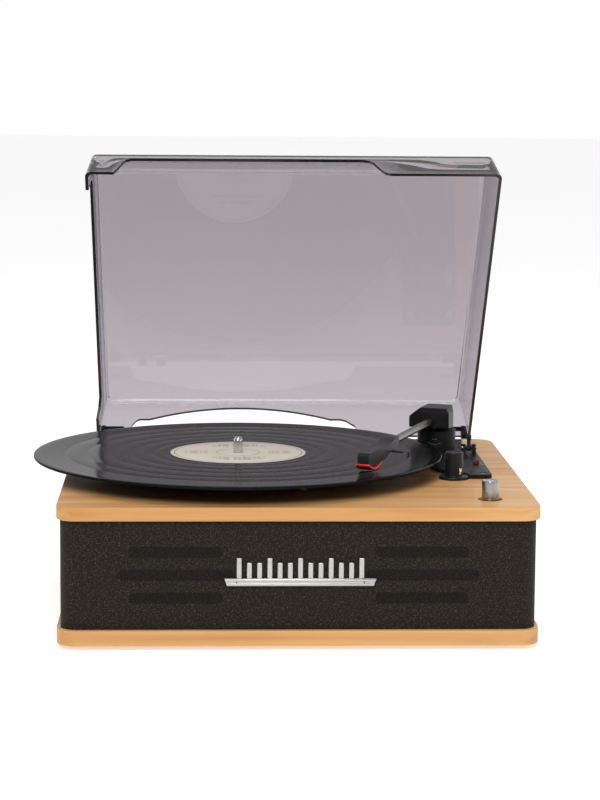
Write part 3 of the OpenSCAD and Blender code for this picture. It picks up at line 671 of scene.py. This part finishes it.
stretch = add_node(slat_tree, "ShaderNodeCombineXYZ", {}, {"X": 1.0, "Y": 1.0, "Z": tall.socket})
bars = add_node(slat_tree, "GeometryNodeInstanceOnPoints", {}, {
    "Points": line, "Instance": raised, "Scale": stretch})
close_tree(slat_tree, bars, given.outputs["Finish"])
slat_low, slat_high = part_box("badge_slats")
SLAT_COUNT = 13
SLAT_W = 0.0034
slat_pitch = (slat_high[0] - slat_low[0] - SLAT_W) / (SLAT_COUNT - 1)
slat_depth = slat_high[1] - slat_low[1]
first_slat = (slat_low[0] + SLAT_W / 2, slat_low[1] + slat_depth / 2, slat_low[2])
slats = grown("badge_bars", slat_tree, [first_slat], Count=SLAT_COUNT, Pitch=slat_pitch, Width=SLAT_W,
              Depth=slat_depth, Lowest=0.0075, Swing=0.0066, Finish=satin)
badge_bars = set_out("badge_bars", slats, [satin], "root", ["badge_slats"])
soft_edge = badge_bars.modifiers.new("eased", "BEVEL")
soft_edge.width = 0.0004
soft_edge.segments = 2

dark_pin = moulded("dark_pin", (0.05, 0.048, 0.045), 0.5)
PIN_X = (-0.0430, 0.0446)
pin = turned([(0, 0.0004)] + arc(0.0002, 0.0001, 0.0003, 60, 0, 3) + [(0.0005, -0.0008), (0, -0.0008)],
             steps=16)
repeated("badge_pins", pin, [(x, bar_front + GROOVE, bar_mid) for x in PIN_X], dark_pin,
         "root", tilt=(math.pi / 2, 0, 0))

# ---- loudspeakers ----
# Two small full-range drivers on the back of the baffle: a pressed steel basket, a doped paper
# cone with a dust cap, and a ferrite ring between two zinc plated discs.
frame_paint = moulded("basket_paint", (0.030, 0.030, 0.032), 0.45)


def pulp(wire):
    fibres = wire.noise(wire.places(), 700, 5, 0.7)
    return {"Base Color": fibres.mix((0.020, 0.019, 0.018), (0.060, 0.056, 0.050)),
            "Roughness": 0.75 + 0.2 * fibres, "Normal": fibres.bump(0.00015, 0.6)}


cone_paper = material("cone_paper", pulp, Specular_IOR_Level=0.2)
ferrite = moulded("ferrite", (0.055, 0.055, 0.060), 0.5, 1200, 0.00006)
for side in ("left", "right"):
    dress(frame_paint, side + "_speaker_basket")
    dress(cone_paper, side + "_speaker_cone")
    dress(ferrite, side + "_speaker_magnet")


# ---- amplifier ----
# A green fibreglass board on four nylon posts, with sleeved capacitors and a pressed
# aluminium heat sink for the amplifier chip.
def solder_mask(wire):
    x, y, _ = wire.axes(wire.places())
    tracks = ((x * 1900).sine() * (y * 1400).sine()).fade(0.25, 0.35)
    glass = wire.noise(wire.places(), 1500, 2)
    return {"Base Color": tracks.mix((0.010, 0.075, 0.025), (0.022, 0.130, 0.040)),
            "Roughness": 0.30 + 0.2 * glass, "Normal": (tracks * 0.7 + glass * 0.3).bump(0.00003, 0.8)}


dress(material("solder_mask", solder_mask), "amplifier_board")
dress(moulded("nylon", (0.78, 0.75, 0.66), 0.5), "board_standoffs")
dress(moulded("capacitor_sleeve", (0.012, 0.018, 0.075), 0.35), "board_capacitors")
dress(metal("pressed_aluminium", (0.72, 0.72, 0.73), 0.4, (900, 900, 60)), "heat_sink")

# ---- sockets at the back ----
# A black moulded plate screwed over an opening in the back holds two line sockets with
# coloured rings, two small jacks and the inlet for the power plug.
black = moulded("black_moulding", (0.011, 0.011, 0.0115), 0.46, 2200, 0.00004, Specular_IOR_Level=0.16)
plate_low, plate_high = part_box("jack_plate")
socket_z = (plate_low[2] + plate_high[2]) / 2
plate = ease_edges(node_copy("jack_plate"), 0.0006, 2,
                   lambda p: p.y > plate_high[1] - 0.0001 and near_rim("jack_plate", 0.0005)(p)
                   or abs(p.x - plate_low[0]) < 0.0003 or abs(p.x - plate_high[0]) < 0.0003)
set_out("socket_plate", plate, [black], "root", ["jack_plate"])
small_screw = screw_form(0.0024, 0.0014, 0.0012, 0.0060)
FROM_EDGE = 0.0045
corners = [(x, plate_high[1] + 0.0012, z) for x in (plate_low[0] + FROM_EDGE, plate_high[0] - FROM_EDGE)
           for z in (plate_low[2] + FROM_EDGE, plate_high[2] - FROM_EDGE)]
OUT_OF_BACK = (-math.pi / 2, 0, 0)
repeated("plate_screws", small_screw, corners, zinc, "root", (), OUT_OF_BACK, 3.0, 8)
nickel = metal("bright_nickel", (0.80, 0.78, 0.74), 0.18)
dress(nickel, "line_jacks")
dress(black, "dc_jack", "minijacks")
line_low, line_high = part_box("line_jacks")
LINE_R = 0.005
RING_BORE_R = 0.00445
ring_profile = ([(RING_BORE_R, 0.0002), (0.0066, 0.0002)] + arc(0.0062, 0.0012, 0.0004, 0, 90, 3)
                + [(RING_BORE_R, 0.0016)])
for name, x, colour in (("line_ring_red", line_low[0] + LINE_R, (0.50, 0.018, 0.016)),
                        ("line_ring_white", line_high[0] - LINE_R, (0.75, 0.74, 0.70))):
    ring_finish = moulded(name + "_plastic", colour, 0.35)
    repeated(name, turned(ring_profile, steps=40), [(x, plate_high[1], socket_z)], ring_finish,
             "root", (), OUT_OF_BACK)

# ---- top board ----
# The same stained and lacquered beech as the bottom board, with a bored recess for the volume
# knob and holes for the bearing, the motor pulley and the tonearm deck's screws.
knob_at = Vector(centre_of("volume_knob"))
RECESS_REACH = 0.0092
board = node_copy("top_plate")
ease_edges(board, EDGE_EASE, 3, near_rim("top_plate", RIM_BAND))
ease_edges(board, 0.0004, 2, lambda p: (Vector((p.x, p.y)) - knob_at).length < RECESS_REACH)
top_board = set_out("top_board", board, [wood], "root", ["top_plate"])
even_normals(top_board)

# ---- volume control ----
# A turned aluminium knob with a fine lathe finish, a rounded top edge and a line cut round it
# near the board, pushed on the shaft of a potentiometer that hangs under the top board.
dress(zinc, "volume_pot")
KNOB_R = 0.0059
KNOB_ROUND = 0.0006
KNOB_LINE = 0.0003
SHAFT_R = 0.003
knob_low, knob_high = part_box("volume_knob")
knob_top = knob_high[2]


def lathe_lines(wire):
    _, _, z = wire.axes(wire.places())
    rings = wire.noise(wire.places((30, 30, 9000)), 1.0, 2, 0.6)
    brushed = wire.noise(wire.places((500, 500, 20)), 1.0, 2)
    return {"Base Color": rings.mix((0.26, 0.25, 0.24), (0.50, 0.485, 0.47)),
            "Roughness": 0.17 + 0.16 * rings + 0.06 * brushed, "Normal": rings.bump(0.000012, 0.6)}


spun = material("spun_aluminium", lathe_lines, Metallic=1.0)
knob_foot = knob_top - 0.0178
knob = turned([(0, knob_top - KNOB_LINE), (0.0040, knob_top - KNOB_LINE), (0.0043, knob_top - 0.0001)]
              + arc(KNOB_R - KNOB_ROUND, knob_top - KNOB_ROUND, KNOB_ROUND, 90, 0, 5)
              + [(KNOB_R, knob_top - 0.0118), (KNOB_R - KNOB_LINE, knob_top - 0.0121),
                 (KNOB_R - KNOB_LINE, knob_top - 0.0125), (KNOB_R, knob_top - 0.0128),
                 (KNOB_R, knob_foot), (SHAFT_R, knob_foot), (SHAFT_R, knob_low[2]), (0, knob_low[2])],
              knob_at, 72)
set_out("volume_dial", knob, [spun], "volume_control", ["volume_knob"], 30)

# ---- motor, belt and bearing ----
# A small direct current motor on rubber grommets drives the platter's inner ring through a
# flat rubber belt. The platter turns on a steel shaft in a bronze bush, on a hardened ball.
motor_can = metal("motor_can", (0.62, 0.62, 0.63), 0.3, (200, 200, 900))
bronze = metal("bronze", (0.60, 0.42, 0.20), 0.35)
steel = metal("ground_steel", (0.72, 0.715, 0.71), 0.16, (900, 900, 300))
dress(motor_can, "motor_body")
dress(rubber, "motor_grommets", "drive_belt")
dress(steel, "motor_shaft", "thrust_ball", "spindle")
dress(bronze, "motor_pulley", "bearing_bush")
dress(metal("cast_bearing", (0.42, 0.42, 0.43), 0.5, depth=0.00003), "bearing_housing")
spindle_at = centre_of("spindle")

# ---- platter and mat ----
# A cast platter painted black, with a rolled rim, and a ribbed rubber mat that keeps the
# record from slipping.
dress(moulded("platter_paint", (0.020, 0.020, 0.021), 0.4, 1500, 0.00006), "platter")


def ring_distance(wire):
    """How far a point is from the spindle's axis, and its x and y from there."""
    x, y, _ = wire.axes(wire.places((1, 1, 1), (-spindle_at[0], -spindle_at[1], 0)))
    return (x * x + y * y) ** 0.5, x, y


def ribbed(wire):
    out, _, _ = ring_distance(wire)
    ribs = (out * (math.tau / 0.003)).sine().fade(-0.3, 0.3)
    dust = wire.noise(wire.places(), 1200, 3)
    return {"Base Color": dust.mix((0.010, 0.010, 0.010), (0.026, 0.026, 0.027)),
            "Roughness": 0.7 + 0.2 * dust, "Normal": (ribs + dust * 0.1).bump(0.0004, 0.8)}


dress(material("ribbed_mat", ribbed, Specular_IOR_Level=0.2), "platter_mat")

# ---- record ----
# A pressed twelve inch record: black vinyl with a raised bead round its edge, a plain lead-in,
# five bands of grooves with shiny gaps between them, and a run-out ring round the label.
record_low, record_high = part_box("record")
RECORD_R = (record_high[0] - record_low[0]) / 2
HOLE_R = 0.0036
GROOVE_DIP = 0.00012
BAND_GAP = 0.0006
BEAD = 0.00075
BANDS = (0.1445, 0.1268, 0.1112, 0.0930, 0.0776, 0.0620)
face_z = record_high[2]
profile = [(HOLE_R, face_z), (0.0500, face_z), (0.0510, face_z - 0.0002), (0.0535, face_z - 0.0002),
           (0.0545, face_z - GROOVE_DIP)]
for band in reversed(BANDS[1:]):
    profile += [(band - BAND_GAP, face_z - GROOVE_DIP), (band, face_z - GROOVE_DIP - 0.00006),
                (band + BAND_GAP, face_z - GROOVE_DIP)]
profile += [(BANDS[0], face_z - GROOVE_DIP), (BANDS[0] + 2 * BAND_GAP, face_z - 0.00003)]
profile += arc(RECORD_R - BEAD, face_z - BEAD, BEAD, 90, 0, 6)
profile += arc(RECORD_R - BEAD, record_low[2] + BEAD, BEAD, 0, -90, 6)
profile += [(0.0540, record_low[2]), (HOLE_R, record_low[2])]


def pressed_vinyl(wire):
    out, _, _ = ring_distance(wire)
    by_radius = {"noise_dimensions": "1D"}
    ring_noise = wire.make("TexNoise", by_radius, {"W": out, "Scale": 5200.0, "Detail": 3.0})
    loudness_and_painted_sheen = wire.make("TexNoise", by_radius, {"W": out, "Scale": 620.0, "Detail": 2.0})
    gaps = 0.0
    for band in BANDS:
        gaps = (1 - abs(out - band).fade(0.0003, 0.0011)) + gaps
    smooth = (out > BANDS[0]) + (out < BANDS[-1])
    plain = gaps + smooth
    plain = plain.sum("MINIMUM", plain, 1.0)
    dust = wire.noise(wire.places(), 2600, 2).fade(0.72, 0.80)
    # Painted sheen: the grooved bands get a lighter base colour, varying with loudness, standing in for the
    # light the grooves scatter; the smooth gaps, lead-in and run-out stay darkest. The same noise also
    # varies the grooves' real roughness.
    colour = (loudness_and_painted_sheen * (1 - plain)).mix((0.0075, 0.0072, 0.0076), (0.0190, 0.0175, 0.0180))
    colour = (dust * 0.12).mix(colour, (0.16, 0.15, 0.14))
    rough = (1 - plain) * (0.11 + 0.12 * loudness_and_painted_sheen) + plain * 0.07
    height = ring_noise * (1 - plain)
    return {"Base Color": colour, "Roughness": rough, "Normal": height.bump(0.00001, 0.5)}


vinyl = material("pressed_vinyl", pressed_vinyl, Specular_IOR_Level=0.016)
disc = turned(profile, spindle_at, 256)
set_out("record_disc", disc, [vinyl], "turning_platter", ["record"], 50)

# ---- record label ----
# A round cream paper label, pressed on with the vinyl, printed with plain rings and a few
# rows of small bars in brown ink.
label_low, label_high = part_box("record_label")
LABEL_R = (label_high[0] - label_low[0]) / 2


def printed_paper(wire):
    out, x, y = ring_distance(wire)
    fibres = wire.noise(wire.places(), 900, 4, 0.6)
    stain = wire.noise(wire.places(), 40, 2, 0.5)
    paper = (fibres * 0.5 + stain * 0.5).mix((0.63, 0.575, 0.48), (0.79, 0.74, 0.64))
    ink = abs(out - (LABEL_R - 0.0028)) < 0.00035
    ink = ink + (abs(out - 0.0158) < 0.0003)
    rows = ((0.0330, 0.0150, 0.0016), (0.0280, 0.0210, 0.0010), (-0.0240, 0.0200, 0.0010),
            (-0.0285, 0.0160, 0.0010), (-0.0335, 0.0110, 0.0010))
    words = (x * 1300 + (x * 470).sine() * 2).sine().fade(-0.72, -0.55)
    for middle, half, thick in rows:
        ink = ink + (abs(y - middle) < thick) * (abs(x) < half) * words
    sides = (abs(abs(x) - 0.0310) < 0.0085) * words
    for middle in (0.0045, 0.0, -0.0045):
        ink = ink + sides * (abs(y - middle) < 0.0008)
    ink = ink.sum("MINIMUM", ink, 1.0) * (0.75 + 0.25 * fibres)
    return {"Base Color": (ink * 0.85).mix(paper, (0.075, 0.050, 0.038)),
            "Roughness": 0.42 + 0.2 * fibres,
            "Normal": (fibres * 0.6 + (1 - ink) * 0.1).bump(0.00003, 0.4)}


paper = material("label_paper", printed_paper, Specular_IOR_Level=0.3)
label_z = label_high[2]
LABEL_HOLE_R = 0.0038
under_z = record_high[2] + 0.00002
inner_z = label_z - 0.00003
dent_z = label_z - 0.00008
label = turned([(LABEL_HOLE_R, under_z), (LABEL_HOLE_R, inner_z), (0.0148, inner_z), (0.0152, dent_z),
                (0.0164, dent_z), (0.0168, inner_z), (LABEL_R - 0.0002, label_z),
                (LABEL_R, label_z - 0.0001), (LABEL_R, under_z)], spindle_at, 160)
set_out("paper_label", label, [paper], "turning_platter", ["record_label"], 60)

# ---- tonearm deck ----
# A black deck plate moulded with the cue lever's bracket and two slots for the switches. Three
# cross-head screws hold it to the top board, and tick marks are printed beside the slots.
tower_low, tower_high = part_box("arm_tower")
deck_face = tower_low[2]
deck_rim = near_rim("arm_deck", 0.004)
deck = ease_edges(node_copy("arm_deck"), 0.0005, 2, lambda p: deck_rim(p) or (p.x < 0.116 and p.y < 0.04))
set_out("deck_plate", deck, [black], "root", ["arm_deck"])
SUNK = 0.0003
deck_spots = [(x, y, deck_face - SUNK) for x, y in ((0.107, 0.122), (0.1394, 0.122), (0.1394, -0.030))]
deck_screw = screw_form(0.0026, 0.0013, 0.00125, 0.0080)
repeated("deck_plate_screws", deck_screw, deck_spots, zinc, "root", ["deck_screws"],
         (0, 0, 0), 3.0, 3)
white_ink = moulded("white_ink", (0.62, 0.62, 0.60), 0.5)
tick = ease_edges(slab((-0.0011, -0.0003, 0), (0.0011, 0.0003, 0.00006)), 0.00002, 1)
TICK_X = 0.1433
tick_spots = [(TICK_X, y, deck_face) for y in (0.1010, 0.0920, 0.0830, 0.0200, 0.0140, 0.0080)]
repeated("deck_marks", tick, tick_spots, white_ink, "root")

# ---- tonearm tower ----
# A round moulded tower carries the arm's bearing. A collar runs round its foot and faint
# printed arcs show which way the arm lifts.
tower_at = centre_of("arm_tower")
tower = ease_edges(node_copy("arm_tower"), 0.0002, 1, lambda p: p.z > tower_high[2] - 0.0004)
set_out("bearing_tower", tower, [black], "root", ["arm_tower"])
TOWER_R = (tower_high[0] - tower_low[0]) / 2
grey_ink = moulded("grey_ink", (0.16, 0.16, 0.155), 0.5)


def round_side(form, centre, radius, degrees, height):
    """Stands a form on a post's side, in the given direction and at the given height."""
    turn = math.radians(degrees)
    place = (centre[0] + radius * math.cos(turn), centre[1] + radius * math.sin(turn), height)
    spin = Matrix.Translation(place) @ Matrix.Rotation(turn + math.pi / 2, 4, "Z")
    bmesh.ops.transform(form, matrix=spin, verts=form.verts)
    return form


marks = join(*[round_side(slab((-0.0006, -0.00006, -0.0003), (0.0006, 0.00006, 0.0003)),
                          tower_at, TOWER_R, degrees, tower_low[2] + rise)
               for degrees, rise in ((-118, 0.0072), (-110, 0.0066), (-102, 0.0063), (-94, 0.0064),
                                     (-86, 0.0070), (-106, 0.0102), (-98, 0.0102))])
set_out("tower_marks", marks, [grey_ink], "root")

# ---- arm bearing ----
# A yoke moulded in black plastic turns in the tower's bore. A ground steel pin is pressed
# across its fork, and the arm tips on it.
yoke = ease_edges(node_copy("arm_yoke"), 0.0003, 2)
set_out("bearing_yoke", yoke, [black], "arm_bearing", ["arm_yoke"])
dress(steel, "yoke_pin")

# ---- tonearm ----
# A drawn metal tube runs from a faceted black counterweight housing to a long headshell with a
# cross bar for the finger. A red clip under the headshell carries the stylus.
satin_black = moulded("satin_black", (0.013, 0.0128, 0.0125), 0.36, Specular_IOR_Level=0.22)
for name, node, width in (
        ("weight_housing", "counterweight_block", 0.0006), ("head_cover", "headshell", 0.0005),
        ("cartridge_body", "cartridge", 0.0003), ("finger_bar", "finger_lift", 0.0004)):
    part = ease_edges(node_copy(node), width, 2, sharper=18)
    even_normals(set_out(name, part, [satin_black], "tonearm", [node]))
dress(metal("drawn_tube", (0.27, 0.255, 0.24), 0.30, (900, 60, 900)), "arm_tube")


def tinted(wire):
    swirl = wire.noise(wire.places(), 90, 2)
    return {"Base Color": swirl.mix((0.66, 0.020, 0.012), (0.76, 0.034, 0.018)),
            "Roughness": 0.24 + 0.06 * swirl}


red = material("stylus_red", tinted, Subsurface_Weight=0.15, Subsurface_Scale=0.002)
ARM_PIVOT = Vector((0.1155, 0.0800, 0))
ARM_TURN = math.radians(-20.2)
HEAD_TURN = math.radians(-4)
TUBE_L = 0.126
arm_frame = Matrix.Translation(ARM_PIVOT) @ Matrix.Rotation(ARM_TURN, 4, "Z")
head_frame = arm_frame @ Matrix.Translation((0, -TUBE_L, 0)) @ Matrix.Rotation(HEAD_TURN, 4, "Z")
STYLUS_ALONG = -0.050
GUARD_HALF = 0.0059
GUARD_STEPS = 18
DEEPEST = 0.43
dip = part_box("stylus_guard")[0][2]
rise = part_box("cartridge")[1][2]


def sag(t):
    """How deep the clip hangs at t along it: 0 at its ends and 1 at its deepest place."""
    reach = 1 - DEEPEST if t > DEEPEST else DEEPEST
    return 1 - ((t - DEEPEST) / reach) ** 2


form = bmesh.new()
steps = [i / GUARD_STEPS for i in range(GUARD_STEPS + 1)]
outline = [(-0.0130 + 0.0300 * t, rise + 0.0006 * t - (rise - dip) * sag(t)) for t in steps]
outline += [(-0.0125 + 0.0292 * t, rise + 0.0013 + 0.0004 * t - 0.0042 * sag(t)) for t in reversed(steps)]
rims = [[form.verts.new((side * (GUARD_HALF - 0.0012 * (abs(y) / 0.017) ** 2), STYLUS_ALONG + y, z))
         for y, z in outline] for side in (-1, 1)]
ease_edges(bridged(form, rims), 0.0004, 3, sharper=50)
bmesh.ops.transform(form, matrix=head_frame, verts=form.verts)
set_out("stylus_clip", form, [red], "tonearm", ["stylus_guard"])

# ---- cue lever and lift ----
# A moulded black lever is riveted to the deck's bracket with plated studs. It turns a cam
# that raises the plunger, which slides in the deck, under the arm.
dress(black, "cue_plunger")
lever = ease_edges(node_copy("cue_lever"), 0.0003, 2)
set_out("cue_handle_lever", lever, [satin_black], "cue_handle", ["cue_lever"])
lever_low, lever_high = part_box("cue_lever")
stud = turned([(0, 0.0006)] + arc(0.0006, 0.0001, 0.0005, 80, 0, 4) + [(0.0011, -0.0002), (0, -0.0002)],
              steps=24)
stud_spots = [(x, 0.0518, deck_face + 0.0060) for x in (lever_low[0] - 0.0001, lever_high[0] + 0.0001)]
repeated("bracket_studs", stud, stud_spots, nickel, "root", tilt=(math.pi / 2, 0, 0))

# ---- arm rest post ----
# A turned black post on a flange, on which the arm is parked, with a small spring clip of
# bright steel let into its front.
post_low, post_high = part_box("arm_rest_post")
post_at = centre_of("arm_rest_post")
POST_R = 0.0067
POST_LINE = 0.0003
FLANGE_R = (post_high[0] - post_low[0]) / 2
foot_z = post_low[2]
head_z = post_high[2]
post = turned([(0, foot_z), (FLANGE_R, foot_z)] + arc(FLANGE_R - 0.0010, foot_z + 0.0012, 0.0010, 0, 90, 4)
              + [(POST_R + 0.0008, foot_z + 0.0022)]
              + arc(POST_R + 0.0008, foot_z + 0.0030, 0.0008, 270, 180, 4)
              + [(POST_R, head_z - 0.0040), (POST_R - POST_LINE, head_z - 0.0038),
                 (POST_R - POST_LINE, head_z - 0.0033), (POST_R, head_z - 0.0031)]
              + arc(POST_R - 0.0009, head_z - 0.0009, 0.0009, 0, 90, 5)
              + [(0.0045, head_z), (0.0042, head_z - 0.0004), (0, head_z - 0.0004)], post_at, 72)
set_out("rest_post", post, [satin_black], "root", ["arm_rest_post"], 40)
clip = ease_edges(slab((-0.0011, -0.0005, -0.0026), (0.0011, 0.0005, 0.0026)), 0.0003, 2)
round_side(clip, post_at, POST_R - 0.0001, -52, foot_z + 0.0060)
set_out("rest_clip", clip, [nickel], "root")

# ---- switches ----
# Two small slide switches stand up through the deck: an ivory one for the speed and a dark
# red one for the automatic stop. Their caps have grip ribs moulded across them.
ivory = moulded("ivory_cap", (0.62, 0.55, 0.40), 0.4)
dark_red = moulded("dark_red_cap", (0.17, 0.016, 0.013), 0.4)
RIB_PITCH = 0.0012
for name, node, finish, body, slot in (
        ("speed_cap", "speed_switch", ivory, "speed_slider", "ivory_plastic"),
        ("autostop_cap", "autostop_switch", dark_red, "autostop_slider", "red_plastic")):
    _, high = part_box(node)
    cap = ease_edges(node_copy(node), 0.0004, 2)
    set_out(name, cap, [finish], body, [node])
    rib = ease_edges(slab((-0.0014, -0.00025, -0.0001), (0.0014, 0.00025, 0.0003)), 0.0001, 1)
    across, middle = centre_of(node)
    rib_spots = [(across, middle + k * RIB_PITCH, high[2]) for k in (-1, 0, 1)]
    repeated(name + "_ribs", rib, rib_spots, finish, body)

# ---- lid ----
# A dust cover moulded in smoked acrylic, with cut-outs in its front, back and left walls. The
# sawn and polished edges look black, because they gather the tint of the whole sheet.
LID_OPEN = math.radians(51)
hinge_low, hinge_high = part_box("hinge_pins")
hinge_y = (hinge_low[1] + hinge_high[1]) / 2
hinge_z = (hinge_low[2] + hinge_high[2]) / 2
HINGE = Vector((0, hinge_y, hinge_z))
close_up = Matrix.Translation(HINGE) @ Matrix.Rotation(LID_OPEN, 4, "X") @ Matrix.Translation(-HINGE)
open_up = close_up.inverted()
lid_form = node_copy("lid_shell")
bmesh.ops.transform(lid_form, matrix=close_up, verts=lid_form.verts)
lid_low = Vector([min(v.co[i] for v in lid_form.verts) for i in range(3)])
lid_back = max(v.co.y for v in lid_form.verts)
FRONT_CUT = (-0.134, 0.073)
FRONT_WALL = 0.0145
BACK_CUT = (-0.134, 0.064)
BACK_WALL = 0.006
BACK_CUT_H = 0.031
SIDE_CUT = (-0.118, 0.1305)
SIDE_WALL = 0.0095
SIDE_CUT_H = 0.0179
ALONG_WALL = 0.3


def is_cut_edge(face):
    """Whether a face of the closed lid is a cut edge of its wall, and not a wall's broad side."""
    normal = face.normal
    middle = face.calc_center_median()
    rim = normal.z < -0.8 and middle.z < lid_low.z + 0.001
    front = (middle.y < lid_low.y + FRONT_WALL and abs(normal.y) < ALONG_WALL
             and FRONT_CUT[0] < middle.x < FRONT_CUT[1])
    back = (middle.y > lid_back - BACK_WALL and abs(normal.y) < ALONG_WALL
            and middle.z < lid_low.z + BACK_CUT_H and BACK_CUT[0] < middle.x < BACK_CUT[1])
    left = (middle.x < lid_low.x + SIDE_WALL and abs(normal.x) < ALONG_WALL
            and middle.z < lid_low.z + SIDE_CUT_H and SIDE_CUT[0] < middle.y < SIDE_CUT[1])
    return rim or front or back or left


lid_form.normal_update()
for face in lid_form.faces:
    face.material_index = 1 if is_cut_edge(face) else 0
bmesh.ops.transform(lid_form, matrix=open_up, verts=lid_form.verts)


def smoked(wire):
    drift = wire.noise(wire.places(), 9, 2, 0.5)
    _, _, z = wire.axes(wire.places())
    # Painted light: the tint is made paler towards the bottom of the lid, on top of a faint random drift in
    # tone.
    drift_and_painted_light = drift * 0.3 + z.fade(0.31, 0.12) * 0.7
    tint = drift_and_painted_light.mix((0.395, 0.362, 0.397), (0.490, 0.452, 0.490))
    edge_on = wire.make("LayerWeight", {}, {"Blend": 0.5}, 1)
    tint = (edge_on ** 3.0).mix(tint, (0.055, 0.048, 0.055))
    return {"Base Color": tint}


def sawn(wire):
    lines = wire.noise(wire.places((900, 900, 900)), 1.0, 2)
    return {"Base Color": lines.mix((0.006, 0.005, 0.006), (0.016, 0.014, 0.016)),
            "Roughness": 0.16 + 0.16 * lines}


acrylic = material("smoked_acrylic", smoked, Roughness=0.0, Transmission_Weight=1.0, IOR=1.49,
                   Specular_IOR_Level=0.38)
cut_edge = material("cut_acrylic_edge", sawn, Specular_IOR_Level=0.5)
set_out("lid_cover", lid_form, [acrylic, cut_edge], "lid", ["lid_shell"], 13)

# ---- hinges ----
# Black moulded arms are glued in the lid's back corners and turn on steel pins in brackets
# that are screwed to the back.
for name, node, body in (("lid_hinge_arms", "hinge_arms", "lid"), ("hinge_brackets", "hinge_bases", "root")):
    part = ease_edges(node_copy(node), 0.0005, 2, sharper=50)
    set_out(name, part, [black], body, [node])
dress(steel, "hinge_pins")
bracket_low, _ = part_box("hinge_bases")
bracket_screw = screw_form(0.0026, 0.0014, 0.0012, 0.0060)
HINGE_X = 0.1295
bracket_spots = [(side * HINGE_X, bracket_low[1] + 0.0040, bracket_low[2] + up)
                 for side in (-1, 1) for up in (0.0055, 0.0200)]
repeated("bracket_screws", bracket_screw, bracket_spots, zinc, "root", (),
         OUT_OF_BACK, 3.0, 4)

# ---- floor and light ----
# A plain near-white floor, a soft box in front, one overhead, a narrow one at the right for the
# metal's highlights, and a bright even surround behind.
floor_mesh = bpy.data.meshes.new("floor")
FLOOR_HALF = 12
FLOOR_Z = -0.0002
floor_mesh.from_pydata([(x * FLOOR_HALF, y * FLOOR_HALF, FLOOR_Z)
                        for x, y in ((-1, -1), (1, -1), (1, 1), (-1, 1))], [], [(0, 1, 2, 3)])
floor = stood("floor", floor_mesh)


def sweep(wire):
    grain = wire.noise(wire.places(), 3, 2)
    return {"Base Color": grain.mix((0.86, 0.86, 0.86), (0.90, 0.90, 0.90)), "Roughness": 0.8 + 0.1 * grain}


floor_mesh.materials.append(material("studio_floor", sweep, Specular_IOR_Level=0.1,
                                     Emission_Color=(1, 1, 1, 1), Emission_Strength=0.45))


def soft_box(name, place, target, size, power, height=None):
    """An area lamp at place, turned to target."""
    lamp = bpy.data.lights.new(name, "AREA")
    lamp.shape = "RECTANGLE"
    lamp.size = size
    lamp.size_y = height or size
    lamp.energy = power
    holder = stood(name, lamp)
    holder.visible_transmission = False
    holder.location = place
    holder.rotation_euler = (Vector(target) - Vector(place)).to_track_quat("-Z", "Y").to_euler()


soft_box("front_box", (-0.3, -2.0, 1.7), (0, 0, 0.1), 1.2, 37)
soft_box("top_box", (0.0, -0.5, 2.4), (0, 0, 0.1), 0.7, 10)
soft_box("right_box", (1.7, -0.9, 0.7), (0.1, 0, 0.1), 0.5, 4, 1.1)
world = bpy.data.worlds.new("surround")
scene.world = world
world.use_nodes = True
sky = Wire(world.node_tree)
_, toward, height = sky.axes(sky.make("TexCoord", output="Generated"))
behind = toward.fade(0.0, 0.38)
above = height.fade(0.45, 0.95) * 0.3
glow = behind.sum("MAXIMUM", behind, above)
backdrop = world.node_tree.nodes["Background"]
world.node_tree.links.new(glow.mix((0.12, 0.12, 0.125), (1.0, 1.0, 1.0)).socket, backdrop.inputs["Color"])
backdrop.inputs["Strength"].default_value = 1.0
scene.view_settings.view_transform = "Standard"
scene.view_settings.look = "None"
